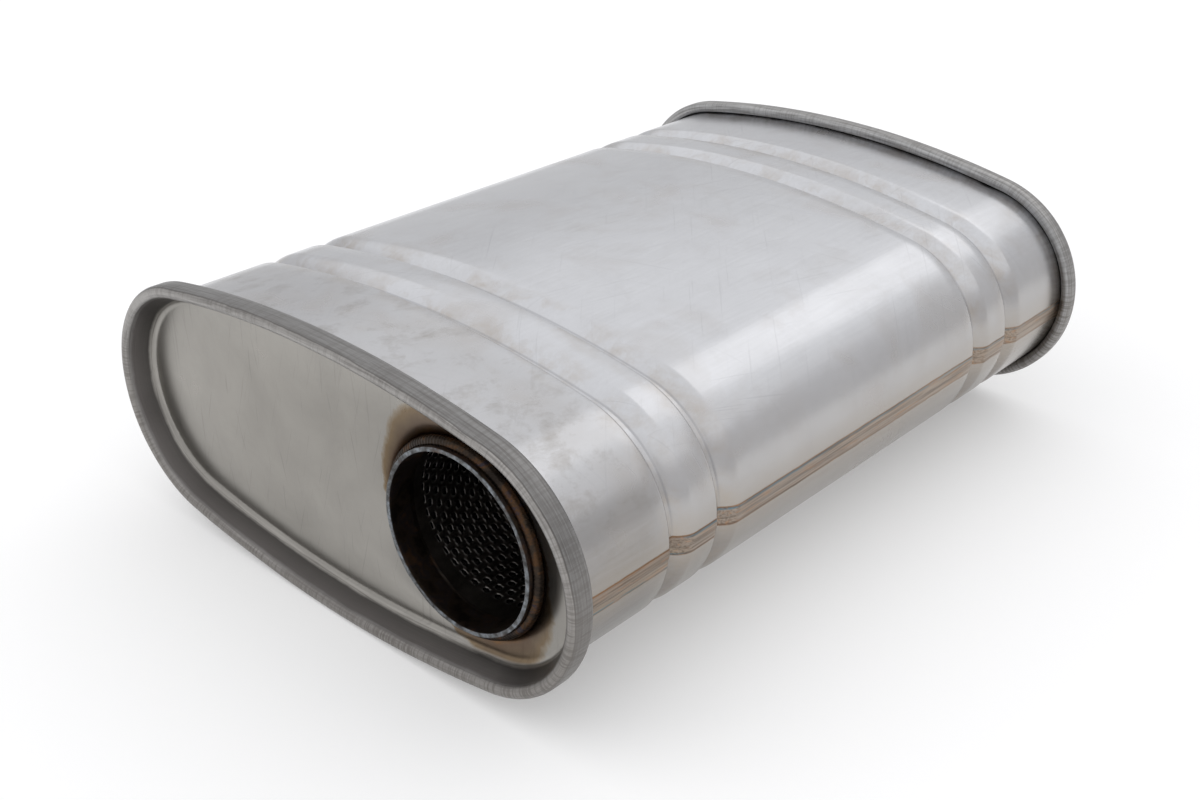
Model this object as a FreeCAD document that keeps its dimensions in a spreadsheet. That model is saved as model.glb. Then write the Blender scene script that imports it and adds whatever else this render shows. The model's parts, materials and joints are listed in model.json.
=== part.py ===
import FreeCAD, Part
import Sketcher
import math
import os

# Oval straight-through muffler: a wrapped steel shell lock-seamed to two
# pressed caps, with a perforated core that leans from an offset inlet to a
# centred outlet, two baffles held between rolled beads, and fibre packing.
# X is the width, Y the length with the inlet at -Y, Z is up from the floor.

doc = FreeCAD.newDocument("Muffler")
sheet = doc.addObject("Spreadsheet::Sheet", "Sizes")
rows = {}
EASE = 0.7071


class Dim:
    """A length or an angle: its value now and the expression that gives it."""

    def __init__(self, value, text):
        self.value = value
        self.text = text

    def __add__(self, other):
        other = dim(other)
        return Dim(self.value + other.value, f"({self.text} + {other.text})")

    def __sub__(self, other):
        other = dim(other)
        return Dim(self.value - other.value, f"({self.text} - {other.text})")

    def __mul__(self, other):
        other = dim(other)
        return Dim(self.value * other.value, f"({self.text} * {other.text})")

    def __truediv__(self, other):
        other = dim(other)
        return Dim(self.value / other.value, f"({self.text} / {other.text})")

    def __neg__(self):
        return Dim(-self.value, f"(0 - {self.text})")


def dim(number):
    if isinstance(number, Dim):
        return number
    return Dim(float(number), repr(number))


def size(alias, value, note):
    """Write one driving dimension into the sheet and hand it back."""
    row = len(rows) + 1
    rows[alias] = row
    sheet.set(f"A{row}", alias)
    sheet.set(f"B{row}", str(value))
    sheet.set(f"C{row}", note)
    sheet.setAlias(f"B{row}", alias)
    return Dim(float(value), f"Sizes.{alias}")


# Overall sizes
length = size("length", 387.0, "over the two rims")
half_width = size("half_width", 139.6, "shell, outside, centre to side")
half_height = size("half_height", 59.6, "shell, outside, centre to top")
end_radius = size("end_radius", 51.4, "shell, outside, of the two rounded sides")
shell_sheet = size("shell_sheet", 1.2, "shell steel")
cap_sheet = size("cap_sheet", 1.5, "cap steel")
fit_gap = size("fit_gap", 0.1, "left between sheets that lie on each other")

# Lock seam that makes each rim
rim_height = size("rim_height", 6.4, "rim above the shell")
rim_width = size("rim_width", 12.0, "rim along the muffler")
rim_front_round = size("rim_front_round", 3.0, "outer front corner of the rim")
rim_inner_round = size("rim_inner_round", 4.5, "inner front corner of the rim")
rim_rear_round = size("rim_rear_round", 3.0, "rolled back edge of the rim")
cover_hook_end = size("cover_hook_end", 5.2, "from the rim face to the cap's hook end")
shell_setback = size("shell_setback", 2.1, "from the rim face to the shell's bend")
shell_bend = size("shell_bend", 1.3, "inside radius of the shell's hook")
shell_hook_end = size("shell_hook_end", 8.6, "from the rim face to the shell's hook end")
recess = size("recess", 12.6, "from the rim face to the cap's flat panel")
cap_fillet = size("cap_fillet", 3.0, "between the cap's wall and its panel")
flat_lap = size("flat_lap", 3.0, "flat that is drawn with a swept edge, cap or baffle")
flat_start = size("flat_start", 1.0, "from the swept bend to the edge of the flat plate")

# Rolled beads that lock the baffles
bead_depth = size("bead_depth", 5.0, "bead below the shell's face")
bead_mouth = size("bead_mouth", 8.2, "half the bead's width at the shell's face")
bead_lip_run = size("bead_lip_run", 2.6, "bead's lip, along the muffler")
bead_lip_drop = size("bead_lip_drop", 0.9, "bead's lip, below the face")
bead_root_run = size("bead_root_run", 2.5, "half the bead's bottom, along the muffler")
bead_root_rise = size("bead_root_rise", 0.8, "bead's bottom, up to its sides")
front_bead_out = size("front_bead_out", 68.0, "front face to the first bead")
front_bead_in = size("front_bead_in", 97.5, "front face to the second bead")
rear_bead_in = size("rear_bead_in", 89.0, "rear face to the third bead")
rear_bead_out = size("rear_bead_out", 57.5, "rear face to the last bead")

# Necks and their welds
inlet_inset = size("inlet_inset", 63.9, "shell's side to the centre of the inlet")
neck_inner = size("neck_inner", 38.3, "radius that takes a 76.2 mm pipe")
neck_wall = size("neck_wall", 2.0, "neck steel")
neck_setback = size("neck_setback", 7.1, "from the rim face to the neck's end")
neck_length = size("neck_length", 13.0, "neck, end to end")
neck_edge = size("neck_edge", 0.3, "edge break on the neck's outer end")
weld_leg = size("weld_leg", 3.2, "leg of the fillet weld around a neck")
weld_depth = size("weld_depth", 2.2, "both ways to the middle of the weld's face")

# Perforated core
core_wall = size("core_wall", 1.2, "core steel")
core_gap = size("core_gap", 0.3, "left between a neck and the core's end")
core_straight = size("core_straight", 3.7, "plain straight end of the core")
core_weld_run = size("core_weld_run", 2.0, "weld between neck and core, along the neck")
core_bend = size("core_bend", 60.0, "radius of the core's two bends")
hole_radius = size("hole_radius", 1.6, "one perforation")
hole_count = size("hole_count", 12, "perforations in a ring")
ring_count = size("ring_count", 6, "rings of perforations")
hole_margin = size("hole_margin", 6.0, "bend to the first ring")

# Baffles, wool and packing
baffle_sheet = size("baffle_sheet", 1.2, "baffle steel")
baffle_flange = size("baffle_flange", 9.0, "baffle rim along the shell")
baffle_round = size("baffle_round", 3.0, "inside radius of the baffle's corner")
wool_layer = size("wool_layer", 3.0, "steel wool around the core")
packing_gap = size("packing_gap", 1.0, "packing to the beads")
end_gap = size("end_gap", 0.3, "packing to baffles and caps")

# Lengthwise seam on the inlet's side
seam_width = size("seam_width", 5.8, "weld metal between the sheet's edges")
seam_low = size("seam_low", -4.5, "lower edge of the weld, from the middle")
seam_proud = size("seam_proud", 0.25, "weld metal above the sheet")
seam_ends = size("seam_ends", 10.0, "from the rim faces to the weld's ends")
seam_trim = size("seam_trim", 20.0, "half the width of the block that trims the weld")

doc.recompute()

# Derived lengths that several pieces share
centre_reach = half_width - end_radius
inlet_offset = half_width - inlet_inset
neck_outer = neck_inner + neck_wall
core_setback = neck_setback + neck_length + core_gap
core_inner = neck_outer + fit_gap
core_outer = core_inner + core_wall
wool_outer = core_outer + wool_layer
front_face = -(length / 2)
rear_face = length / 2
floor_lift = half_height + rim_height


def top_radius(inset):
    """Radius of the flat sides of an oval that lies inset from the shell."""
    tall = half_height - inset
    tight = end_radius - inset
    square = centre_reach * centre_reach + tall * tall - tight * tight
    return square / ((tall - tight) * 2)


def new_body(label):
    body = doc.addObject("PartDesign::Body", label)
    body.Label = label
    return body


def new_sketch(body, name, plane):
    sketch = body.newObject("Sketcher::SketchObject", name)
    for feature in body.Origin.OriginFeatures:
        if feature.Role == plane:
            sketch.AttachmentSupport = [(feature, "")]
    sketch.MapMode = "FlatFace"
    return sketch


def axis_of(body, role):
    for feature in body.Origin.OriginFeatures:
        if feature.Role == role:
            return feature


def bind(sketch, constraint, target):
    """Add one constraint and tie its value to the sheet."""
    index = sketch.addConstraint(constraint)
    sketch.setExpression(f"Constraints[{index}]", target.text)
    return index


def fix_point(sketch, edge, end, x, y):
    """Hold a point of the sketch at (x, y)."""
    if abs(x.value) < 1e-9:
        sketch.addConstraint(Sketcher.Constraint("PointOnObject", edge, end, -2))
    else:
        side = Sketcher.Constraint("DistanceX", -1, 1, edge, end, x.value)
        bind(sketch, side, x)
    if abs(y.value) < 1e-9:
        sketch.addConstraint(Sketcher.Constraint("PointOnObject", edge, end, -1))
    else:
        rise = Sketcher.Constraint("DistanceY", -1, 1, edge, end, y.value)
        bind(sketch, rise, y)


def arc_between(start, stop, radius, left):
    """The shorter arc from start to stop; its centre is on the left if asked."""
    middle = (start + stop) * 0.5
    chord = stop - start
    rise = math.sqrt(max(radius * radius - chord.Length * chord.Length / 4, 0.0))
    normal = FreeCAD.Vector(-chord.y, chord.x, 0)
    normal.normalize()
    if not left:
        normal = normal * -1
    centre = middle + normal * rise
    bulge = centre - normal * radius
    return centre, bulge


def draw_path(sketch, corners, closed=True):
    """Draw lines and arcs through the corners and hold every corner in place.

    A corner is (x, y) or (x, y, radius, side), where radius and side describe
    the arc that leaves the corner towards the next one.
    """
    points = [FreeCAD.Vector(c[0].value, c[1].value, 0) for c in corners]
    count = len(corners)
    last = count if closed else count - 1
    edges = []
    flips = []
    for i in range(last):
        start = points[i]
        stop = points[(i + 1) % count]
        if len(corners[i]) == 2:
            edges.append(sketch.addGeometry(Part.LineSegment(start, stop), False))
            flips.append(False)
            continue
        radius, side = corners[i][2], corners[i][3]
        centre, _ = arc_between(start, stop, radius.value, side == "left")
        circle = Part.Circle(centre, FreeCAD.Vector(0, 0, 1), radius.value)
        first = math.atan2(start.y - centre.y, start.x - centre.x)
        second = math.atan2(stop.y - centre.y, stop.x - centre.x)
        flip = side != "left"
        if flip:
            first, second = second, first
        if second < first:
            second += 2 * math.pi
        edges.append(sketch.addGeometry(Part.ArcOfCircle(circle, first, second), False))
        flips.append(flip)
    for i in range(last):
        begin = 2 if flips[i] else 1
        finish = 1 if flips[i] else 2
        fix_point(sketch, edges[i], begin, corners[i][0], corners[i][1])
        if i + 1 < last or closed:
            after = (i + 1) % last
            onward = 2 if flips[after] else 1
            join = Sketcher.Constraint("Coincident", edges[i], finish, edges[after], onward)
            sketch.addConstraint(join)
        else:
            fix_point(sketch, edges[i], finish, corners[-1][0], corners[-1][1])
        if len(corners[i]) > 2:
            radius = corners[i][2]
            bind(sketch, Sketcher.Constraint("Radius", edges[i], radius.value), radius)
    return edges


def draw_oval(sketch, inset):
    """Four tangent arcs, the shell's outline moved inwards by inset.

    The round at +x is cut in two, so that the outline starts at its side.
    """
    inset = dim(inset)
    side = half_width - inset
    tight = end_radius - inset
    wide = top_radius(inset)
    spread = wide - tight
    turn_x = centre_reach + tight * centre_reach / spread
    turn_z = tight * (wide - (half_height - inset)) / spread
    draw_path(sketch, [
        (side, dim(0), tight, "left"),
        (turn_x, turn_z, wide, "left"),
        (-turn_x, turn_z, tight, "left"),
        (-turn_x, -turn_z, wide, "left"),
        (turn_x, -turn_z, tight, "left"),
    ])


def sweep_ring(body, name, corners, inset=0):
    """Carry a closed section, drawn in the XY plane, around the oval."""
    track = new_sketch(body, name + "_track", "XZ_Plane")
    draw_oval(track, inset)
    section = new_sketch(body, name + "_section", "XY_Plane")
    draw_path(section, corners)
    ring = body.newObject("PartDesign::AdditivePipe", name)
    ring.Profile = section
    ring.Spine = (track, [f"Edge{i}" for i in range(1, 6)])
    ring.Mode = "Standard"
    body.Tip = ring
    return ring


def sine(angle):
    return Dim(math.sin(math.radians(angle.value)), f"sin({angle.text})")


def cosine(angle):
    return Dim(math.cos(math.radians(angle.value)), f"cos({angle.text})")


def eased(start, stop, centre):
    """A hidden quarter bend, drawn as two flats between its ends."""
    middle_x = centre[0] + (start[0] - centre[0]) * EASE + (stop[0] - centre[0]) * EASE
    middle_y = centre[1] + (start[1] - centre[1]) * EASE + (stop[1] - centre[1]) * EASE
    return [start, (middle_x, middle_y), stop]


def turned(side, sign):
    """A left bend becomes a right bend in a section drawn the other way."""
    if sign > 0:
        return side
    return "left" if side == "right" else "right"


def stations(face, sign):
    """Distances measured from an end face towards the middle."""
    def at(distance):
        distance = dim(distance)
        return face + distance if sign > 0 else face - distance
    return at


def pad_plate(body, name, inset, at, sign, near, thick):
    """An oval plate whose near face is the given distance from the end."""
    outline = new_sketch(body, name + "_outline", "XZ_Plane")
    draw_oval(outline, inset)
    plane = at(near)
    outline.AttachmentOffset = FreeCAD.Placement(
        FreeCAD.Vector(0, 0, -plane.value), FreeCAD.Rotation())
    outline.setExpression(".AttachmentOffset.Base.z", (-plane).text)
    plate = body.newObject("PartDesign::Pad", name)
    plate.Profile = outline
    plate.Length = thick.value
    plate.setExpression("Length", thick.text)
    plate.Reversed = sign > 0
    body.Tip = plate
    return plate


def draw_circle(sketch, x, radius):
    """A circle on the sketch's level line, x from the middle."""
    centre = FreeCAD.Vector(x.value, 0, 0)
    ring = Part.Circle(centre, FreeCAD.Vector(0, 0, 1), radius.value)
    edge = sketch.addGeometry(ring, False)
    if abs(x.value) < 1e-9:
        sketch.addConstraint(Sketcher.Constraint("Coincident", edge, 3, -1, 1))
    else:
        fix_point(sketch, edge, 3, x, dim(0))
    bind(sketch, Sketcher.Constraint("Radius", edge, radius.value), radius)


def rest_on_floor(piece, x=None, y=None):
    """Lift a piece, drawn about the muffler's centre, to its place."""
    piece.setExpression("Placement.Base.z", floor_lift.text)
    if x is not None:
        piece.setExpression("Placement.Base.x", x.text)
    if y is not None:
        piece.setExpression("Placement.Base.y", y.text)


# The core's line: straight in the inlet, a bend, the lean across, a bend back
core_reach = length - core_setback * 2 - core_straight * 2
bend_slack = core_bend * 2 - inlet_offset
bend_span = Dim(
    math.hypot(core_reach.value, bend_slack.value),
    f"sqrt({core_reach.text}^2 + {bend_slack.text}^2)")
core_lean = Dim(
    math.degrees(math.asin(2 * core_bend.value / bend_span.value)
                 - math.atan(bend_slack.value / core_reach.value)),
    f"(asin(2 * {core_bend.text} / {bend_span.text})"
    f" - atan({bend_slack.text} / {core_reach.text}))")
lean_sine = sine(core_lean)
lean_cosine = cosine(core_lean)
bend_side = core_bend - core_bend * lean_cosine
bend_rise = core_bend * lean_sine
core_middle = (core_reach - bend_rise * 2) / lean_cosine


def draw_core_line(sketch):
    """The centre line of the core, in the muffler's own level plane."""
    start = front_face + core_setback
    stop = rear_face - core_setback
    draw_path(sketch, [
        (inlet_offset, start),
        (inlet_offset, start + core_straight, core_bend, "left"),
        (inlet_offset - bend_side, start + core_straight + bend_rise),
        (bend_side, stop - core_straight - bend_rise, core_bend, "right"),
        (dim(0), stop - core_straight),
        (dim(0), stop),
    ], closed=False)


def cut_for_core(body, name, radius):
    """Clear the core's way through a piece."""
    track = new_sketch(body, name + "_track", "XY_Plane")
    draw_core_line(track)
    section = new_sketch(body, name + "_section", "XZ_Plane")
    draw_circle(section, inlet_offset, radius)
    start = front_face + core_setback
    section.AttachmentOffset = FreeCAD.Placement(
        FreeCAD.Vector(0, 0, -start.value), FreeCAD.Rotation())
    section.setExpression(".AttachmentOffset.Base.z", (-start).text)
    way = body.newObject("PartDesign::SubtractivePipe", name)
    way.Profile = section
    way.Spine = (track, [f"Edge{i}" for i in range(1, 6)])
    way.Mode = "Standard"
    body.Tip = way
    return way


# Shell: one sheet wrapped to the oval, beads rolled inwards, ends hooked out
def bead(centre, skin, outwards):
    """Corners of one bead on a face that lies skin below the shell's face."""
    face_x = half_width - skin
    root_x = face_x - bead_depth
    lip_x = face_x - bead_lip_drop
    corners = [
        (face_x, centre - bead_mouth),
        (lip_x, centre - bead_mouth + bead_lip_run),
        (root_x + bead_root_rise, centre - bead_root_run),
        (root_x, centre),
        (root_x + bead_root_rise, centre + bead_root_run),
        (lip_x, centre + bead_mouth - bead_lip_run),
        (face_x, centre + bead_mouth),
    ]
    if outwards:
        corners.reverse()
    return corners


bead_centres = [
    front_face + front_bead_out,
    front_face + front_bead_in,
    rear_face - rear_bead_in,
    rear_face - rear_bead_out,
]
skin_in = half_width - shell_sheet
hook_mid = half_width + shell_bend
hook_in = half_width + shell_bend * 2
hook_out = hook_in + shell_sheet
hook_round = shell_bend + shell_sheet
bend_level = shell_setback + hook_round
from_front = stations(front_face, 1)
from_rear = stations(rear_face, -1)

shell_corners = [(hook_out, from_front(shell_hook_end))]
shell_corners += eased(
    (hook_out, from_front(bend_level)), (hook_mid, from_front(shell_setback)),
    (hook_mid, from_front(bend_level)))
shell_corners += eased(
    (hook_mid, from_front(shell_setback)), (skin_in, from_front(bend_level)),
    (hook_mid, from_front(bend_level)))[1:]
for centre in bead_centres:
    shell_corners += bead(centre, shell_sheet, False)
shell_corners += eased(
    (skin_in, from_rear(bend_level)), (hook_mid, from_rear(shell_setback)),
    (hook_mid, from_rear(bend_level)))
shell_corners += eased(
    (hook_mid, from_rear(shell_setback)), (hook_out, from_rear(bend_level)),
    (hook_mid, from_rear(bend_level)))[1:]
shell_corners += [
    (hook_out, from_rear(shell_hook_end)),
    (hook_in, from_rear(shell_hook_end)),
]
shell_corners += eased(
    (hook_in, from_rear(bend_level)), (hook_mid, from_rear(shell_setback + shell_sheet)),
    (hook_mid, from_rear(bend_level)))
shell_corners += eased(
    (hook_mid, from_rear(shell_setback + shell_sheet)),
    (half_width, from_rear(bend_level)), (hook_mid, from_rear(bend_level)))[1:]
for centre in reversed(bead_centres):
    shell_corners += bead(centre, dim(0), True)
shell_corners += eased(
    (half_width, from_front(bend_level)),
    (hook_mid, from_front(shell_setback + shell_sheet)),
    (hook_mid, from_front(bend_level)))
shell_corners += eased(
    (hook_mid, from_front(shell_setback + shell_sheet)),
    (hook_in, from_front(bend_level)), (hook_mid, from_front(bend_level)))[1:]
shell_corners.append((hook_in, from_front(shell_hook_end)))

shell = new_body("shell")
sweep_ring(shell, "shell_wall", shell_corners)
rest_on_floor(shell)


# Caps: drawn from sheet, the edge folded over the shell's hook as a rim
def make_cap(label, face, sign, neck_place):
    at = stations(face, sign)
    body = new_body(label)
    wall_in = skin_in - fit_gap - cap_sheet
    wall_out = wall_in + cap_sheet
    panel_edge = wall_in - cap_fillet
    panel_tail = panel_edge - flat_lap
    rim_out = half_width + rim_height
    fold_mid = rim_out - rim_rear_round
    fold_in = fold_mid - rim_rear_round
    fold_level = rim_width - rim_rear_round
    front_mid = rim_out - rim_front_round
    inner_mid = wall_in + rim_inner_round
    left = turned("left", sign)
    right = turned("right", sign)
    corners = [
        (panel_tail, at(recess)),
        (panel_edge, at(recess), cap_fillet, right),
        (wall_in, at(recess - cap_fillet)),
        (wall_in, at(rim_inner_round), rim_inner_round, left),
        (inner_mid, at(0)),
        (front_mid, at(0), rim_front_round, left),
        (rim_out, at(rim_front_round)),
        (rim_out, at(fold_level), rim_rear_round, left),
        (fold_mid, at(rim_width), rim_rear_round, left),
        (fold_in, at(fold_level)),
        (fold_in, at(cover_hook_end)),
        (fold_in + cap_sheet, at(cover_hook_end)),
    ]
    corners += eased(
        (fold_in + cap_sheet, at(fold_level)), (fold_mid, at(rim_width - cap_sheet)),
        (fold_mid, at(fold_level)))
    corners += eased(
        (fold_mid, at(rim_width - cap_sheet)), (rim_out - cap_sheet, at(fold_level)),
        (fold_mid, at(fold_level)))[1:]
    corners += eased(
        (rim_out - cap_sheet, at(rim_front_round)), (front_mid, at(cap_sheet)),
        (front_mid, at(rim_front_round)))
    corners += eased(
        (inner_mid, at(cap_sheet)), (wall_out, at(rim_inner_round)),
        (inner_mid, at(rim_inner_round)))
    corners += eased(
        (wall_out, at(recess - cap_fillet)), (panel_edge, at(recess + cap_sheet)),
        (panel_edge, at(recess - cap_fillet)))
    corners.append((panel_tail, at(recess + cap_sheet)))
    sweep_ring(body, label + "_rim", corners)
    panel_inset = half_width - panel_edge + flat_start
    pad_plate(body, label + "_panel", panel_inset, at, sign, recess, cap_sheet)
    opening = new_sketch(body, label + "_opening", "XZ_Plane")
    draw_circle(opening, neck_place, neck_outer + fit_gap)
    hole = body.newObject("PartDesign::Pocket", label + "_neck_hole")
    hole.Profile = opening
    hole.Type = "ThroughAll"
    hole.Midplane = True
    body.Tip = hole
    rest_on_floor(body)
    return body


front_cap = make_cap("front_cap", front_face, 1, inlet_offset)
rear_cap = make_cap("rear_cap", rear_face, -1, dim(0))


# Necks: short lengths of tube with the outer edge lightly broken
def spin(body, name, corners):
    """Turn a closed section about the body's own Y axis."""
    section = new_sketch(body, name + "_section", "XY_Plane")
    draw_path(section, corners)
    turn = body.newObject("PartDesign::Revolution", name)
    turn.Profile = section
    turn.ReferenceAxis = (axis_of(body, "Y_Axis"), [""])
    turn.Angle = 360
    body.Tip = turn
    return turn


def make_neck(label, face, sign, place):
    at = stations(face, sign)
    body = new_body(label)
    tail = neck_setback + neck_length
    spin(body, label + "_tube", [
        (neck_inner, at(neck_setback + neck_edge)),
        (neck_inner + neck_edge, at(neck_setback)),
        (neck_outer - neck_edge, at(neck_setback)),
        (neck_outer, at(neck_setback + neck_edge)),
        (neck_outer, at(tail)),
        (neck_inner, at(tail)),
    ])
    rest_on_floor(body, x=place)
    return body


inlet_neck = make_neck("inlet_neck", front_face, 1, inlet_offset)
outlet_neck = make_neck("outlet_neck", rear_face, -1, dim(0))


# Welds: a bulged fillet outside each cap, a smaller one to the core inside
def make_weld(label, face, sign, place):
    at = stations(face, sign)
    body = new_body(label)
    spin(body, label + "_bead", [
        (neck_outer, at(recess)),
        (neck_outer, at(recess - weld_leg)),
        (neck_outer + weld_depth, at(recess - weld_depth)),
        (neck_outer + weld_leg, at(recess)),
    ])
    rest_on_floor(body, x=place)
    return body


def make_core_weld(label, face, sign, place):
    at = stations(face, sign)
    body = new_body(label)
    start = core_setback - core_weld_run
    spin(body, label + "_bead", [
        (neck_outer, at(start)),
        (core_outer + core_wall, at(start)),
        (core_outer, at(core_setback)),
        (neck_outer, at(core_setback)),
    ])
    rest_on_floor(body, x=place)
    return body


inlet_weld = make_weld("inlet_weld", front_face, 1, inlet_offset)
outlet_weld = make_weld("outlet_weld", rear_face, -1, dim(0))
inlet_core_weld = make_core_weld("inlet_core_weld", front_face, 1, inlet_offset)
outlet_core_weld = make_core_weld("outlet_core_weld", rear_face, -1, dim(0))

# Seam weld: fills the joint of the wrapped sheet, rolled flat inside
seam_high = seam_low + seam_width
slot = new_sketch(shell, "shell_slot_outline", "YZ_Plane")
draw_path(slot, [
    (from_front(seam_ends), seam_low),
    (from_rear(seam_ends), seam_low),
    (from_rear(seam_ends), seam_high),
    (from_front(seam_ends), seam_high),
])
shell_slot = shell.newObject("PartDesign::Pocket", "shell_slot")
shell_slot.Profile = slot
shell_slot.Type = "ThroughAll"
shell_slot.Reversed = True
shell.Tip = shell_slot

seam_corners = [(skin_in, from_front(seam_ends))]
for centre in bead_centres:
    seam_corners += bead(centre, shell_sheet, False)
seam_corners += [
    (skin_in, from_rear(seam_ends)),
    (half_width + seam_proud, from_rear(seam_ends)),
]
for centre in reversed(bead_centres):
    seam_corners += bead(centre, -seam_proud, True)
seam_corners += [(half_width + seam_proud, from_front(seam_ends))]

seam_metal = new_body("seam_metal")
seam_section = new_sketch(seam_metal, "seam_metal_section", "XY_Plane")
draw_path(seam_section, seam_corners)
reach = centre_reach.value
pivot = seam_section.addGeometry(Part.LineSegment(
    FreeCAD.Vector(reach, -seam_trim.value, 0),
    FreeCAD.Vector(reach, seam_trim.value, 0)), True)
seam_section.addConstraint(Sketcher.Constraint("Vertical", pivot))
bind(seam_section, Sketcher.Constraint("DistanceX", -1, 1, pivot, 1, reach), centre_reach)
seam_turn = seam_metal.newObject("PartDesign::Revolution", "seam_metal_turn")
seam_turn.Profile = seam_section
seam_turn.ReferenceAxis = (seam_section, ["Axis0"])
seam_turn.Midplane = True
seam_turn.Angle = 20
seam_metal.Tip = seam_turn
rest_on_floor(seam_metal)

seam_block = doc.addObject("Part::Box", "seam_block")
seam_block.setExpression("Length", (seam_trim * 2).text)
seam_block.setExpression("Width", length.text)
seam_block.setExpression("Height", seam_width.text)
seam_block.setExpression("Placement.Base.x", (half_width - seam_trim).text)
seam_block.setExpression("Placement.Base.y", front_face.text)
seam_block.setExpression("Placement.Base.z", (floor_lift + seam_low).text)

seam_weld = doc.addObject("Part::Common", "seam_weld")
seam_weld.Label = "seam_weld"
seam_weld.Base = seam_metal
seam_weld.Tool = seam_block


# Perforated core: a tube drawn along its own lean, bent back at both ends
core = new_body("perforated_core")
half_middle = core_middle / 2
bend_end = half_middle + bend_rise
tail_x = bend_side + core_straight * lean_sine
tail_y = bend_end + core_straight * lean_cosine
core_track = new_sketch(core, "core_track", "XY_Plane")
draw_path(core_track, [
    (-tail_x, -tail_y),
    (-bend_side, -bend_end, core_bend, "left"),
    (dim(0), -half_middle),
    (dim(0), half_middle, core_bend, "right"),
    (bend_side, bend_end),
    (tail_x, tail_y),
], closed=False)


def place_at_core_end(sketch):
    """Turn a section square to the core's inlet end."""
    sketch.AttachmentOffset = FreeCAD.Placement(
        FreeCAD.Vector(-tail_x.value, 0, tail_y.value),
        FreeCAD.Rotation(FreeCAD.Vector(0, 1, 0), -core_lean.value))
    sketch.setExpression(".AttachmentOffset.Base.x", (-tail_x).text)
    sketch.setExpression(".AttachmentOffset.Base.z", tail_y.text)


core_section = new_sketch(core, "core_section", "XZ_Plane")
draw_circle(core_section, dim(0), core_inner)
draw_circle(core_section, dim(0), core_outer)
place_at_core_end(core_section)
core_tube = core.newObject("PartDesign::AdditivePipe", "core_tube")
core_tube.Profile = core_section
core_tube.Spine = (core_track, [f"Edge{i}" for i in range(1, 6)])
core_tube.Mode = "Standard"
core.Tip = core_tube
doc.recompute()

first_ring = half_middle - hole_margin
hole_outline = new_sketch(core, "core_hole_outline", "YZ_Plane")
hole_circle = Part.Circle(
    FreeCAD.Vector(-first_ring.value, 0, 0), FreeCAD.Vector(0, 0, 1), hole_radius.value)
hole_edge = hole_outline.addGeometry(hole_circle, False)
fix_point(hole_outline, hole_edge, 3, -first_ring, dim(0))
bind(hole_outline, Sketcher.Constraint("Radius", hole_edge, hole_radius.value), hole_radius)
core_hole = core.newObject("PartDesign::Pocket", "core_hole")
core_hole.Profile = hole_outline
core_hole.Type = "ThroughAll"
core_hole.Reversed = True
core.Tip = core_hole
doc.recompute()

core_holes = core.newObject("PartDesign::MultiTransform", "core_holes")
core_holes.Originals = [core_hole]
along = core.newObject("PartDesign::LinearPattern", "core_rings")
along.Direction = (axis_of(core, "Y_Axis"), [""])
along.Length = (first_ring * 2).value
along.setExpression("Length", (first_ring * 2).text)
along.Occurrences = int(ring_count.value)
along.setExpression("Occurrences", ring_count.text)
around = core.newObject("PartDesign::PolarPattern", "core_row")
around.Axis = (axis_of(core, "Y_Axis"), [""])
around.Angle = 360
around.Occurrences = int(hole_count.value)
around.setExpression("Occurrences", hole_count.text)
core_holes.Transformations = [along, around]
core.Tip = core_holes
core.Placement = FreeCAD.Placement(
    FreeCAD.Vector(0, 0, 0), FreeCAD.Rotation(FreeCAD.Vector(0, 0, 1), core_lean.value))
rest_on_floor(core, x=inlet_offset / 2)


# Baffles: flanged plates that sit between the beads and carry the core
def make_baffle(label, face, sign, first_bead, second_bead):
    body = new_body(label)
    rim = skin_in - fit_gap
    corner = baffle_round + baffle_sheet
    start = (first_bead + second_bead - baffle_flange) / 2
    at = stations(face, sign)
    stop = start + baffle_flange
    corners = [(rim - baffle_sheet, at(start)), (rim, at(start))]
    corners += eased(
        (rim, at(stop - corner)), (rim - corner, at(stop)),
        (rim - corner, at(stop - corner)))
    corners += [
        (rim - corner - flat_lap, at(stop)),
        (rim - corner - flat_lap, at(stop - baffle_sheet)),
    ]
    corners += eased(
        (rim - corner, at(stop - baffle_sheet)), (rim - baffle_sheet, at(stop - corner)),
        (rim - corner, at(stop - corner)))
    sweep_ring(body, label + "_flange", corners)
    plate_inset = shell_sheet + fit_gap + corner + flat_start
    near = stop - baffle_sheet
    pad_plate(body, label + "_plate", plate_inset, at, sign, near, baffle_sheet)
    cut_for_core(body, label + "_core_hole", core_outer + fit_gap)
    rest_on_floor(body)
    return body


front_baffle = make_baffle("front_baffle", front_face, 1, front_bead_out, front_bead_in)
rear_baffle = make_baffle("rear_baffle", rear_face, -1, rear_bead_out, rear_bead_in)

# Where the three bays begin and end
front_plate = (front_bead_out + front_bead_in + baffle_flange) / 2
rear_plate = (rear_bead_out + rear_bead_in + baffle_flange) / 2
bay_inset = bead_depth + shell_sheet + packing_gap
bays = [
    ("front", from_front(core_setback + end_gap),
     from_front(front_plate - baffle_sheet - end_gap)),
    ("middle", from_front(front_plate + end_gap), from_rear(rear_plate + end_gap)),
    ("rear", from_rear(rear_plate - baffle_sheet - end_gap),
     from_rear(core_setback + end_gap)),
]

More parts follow.
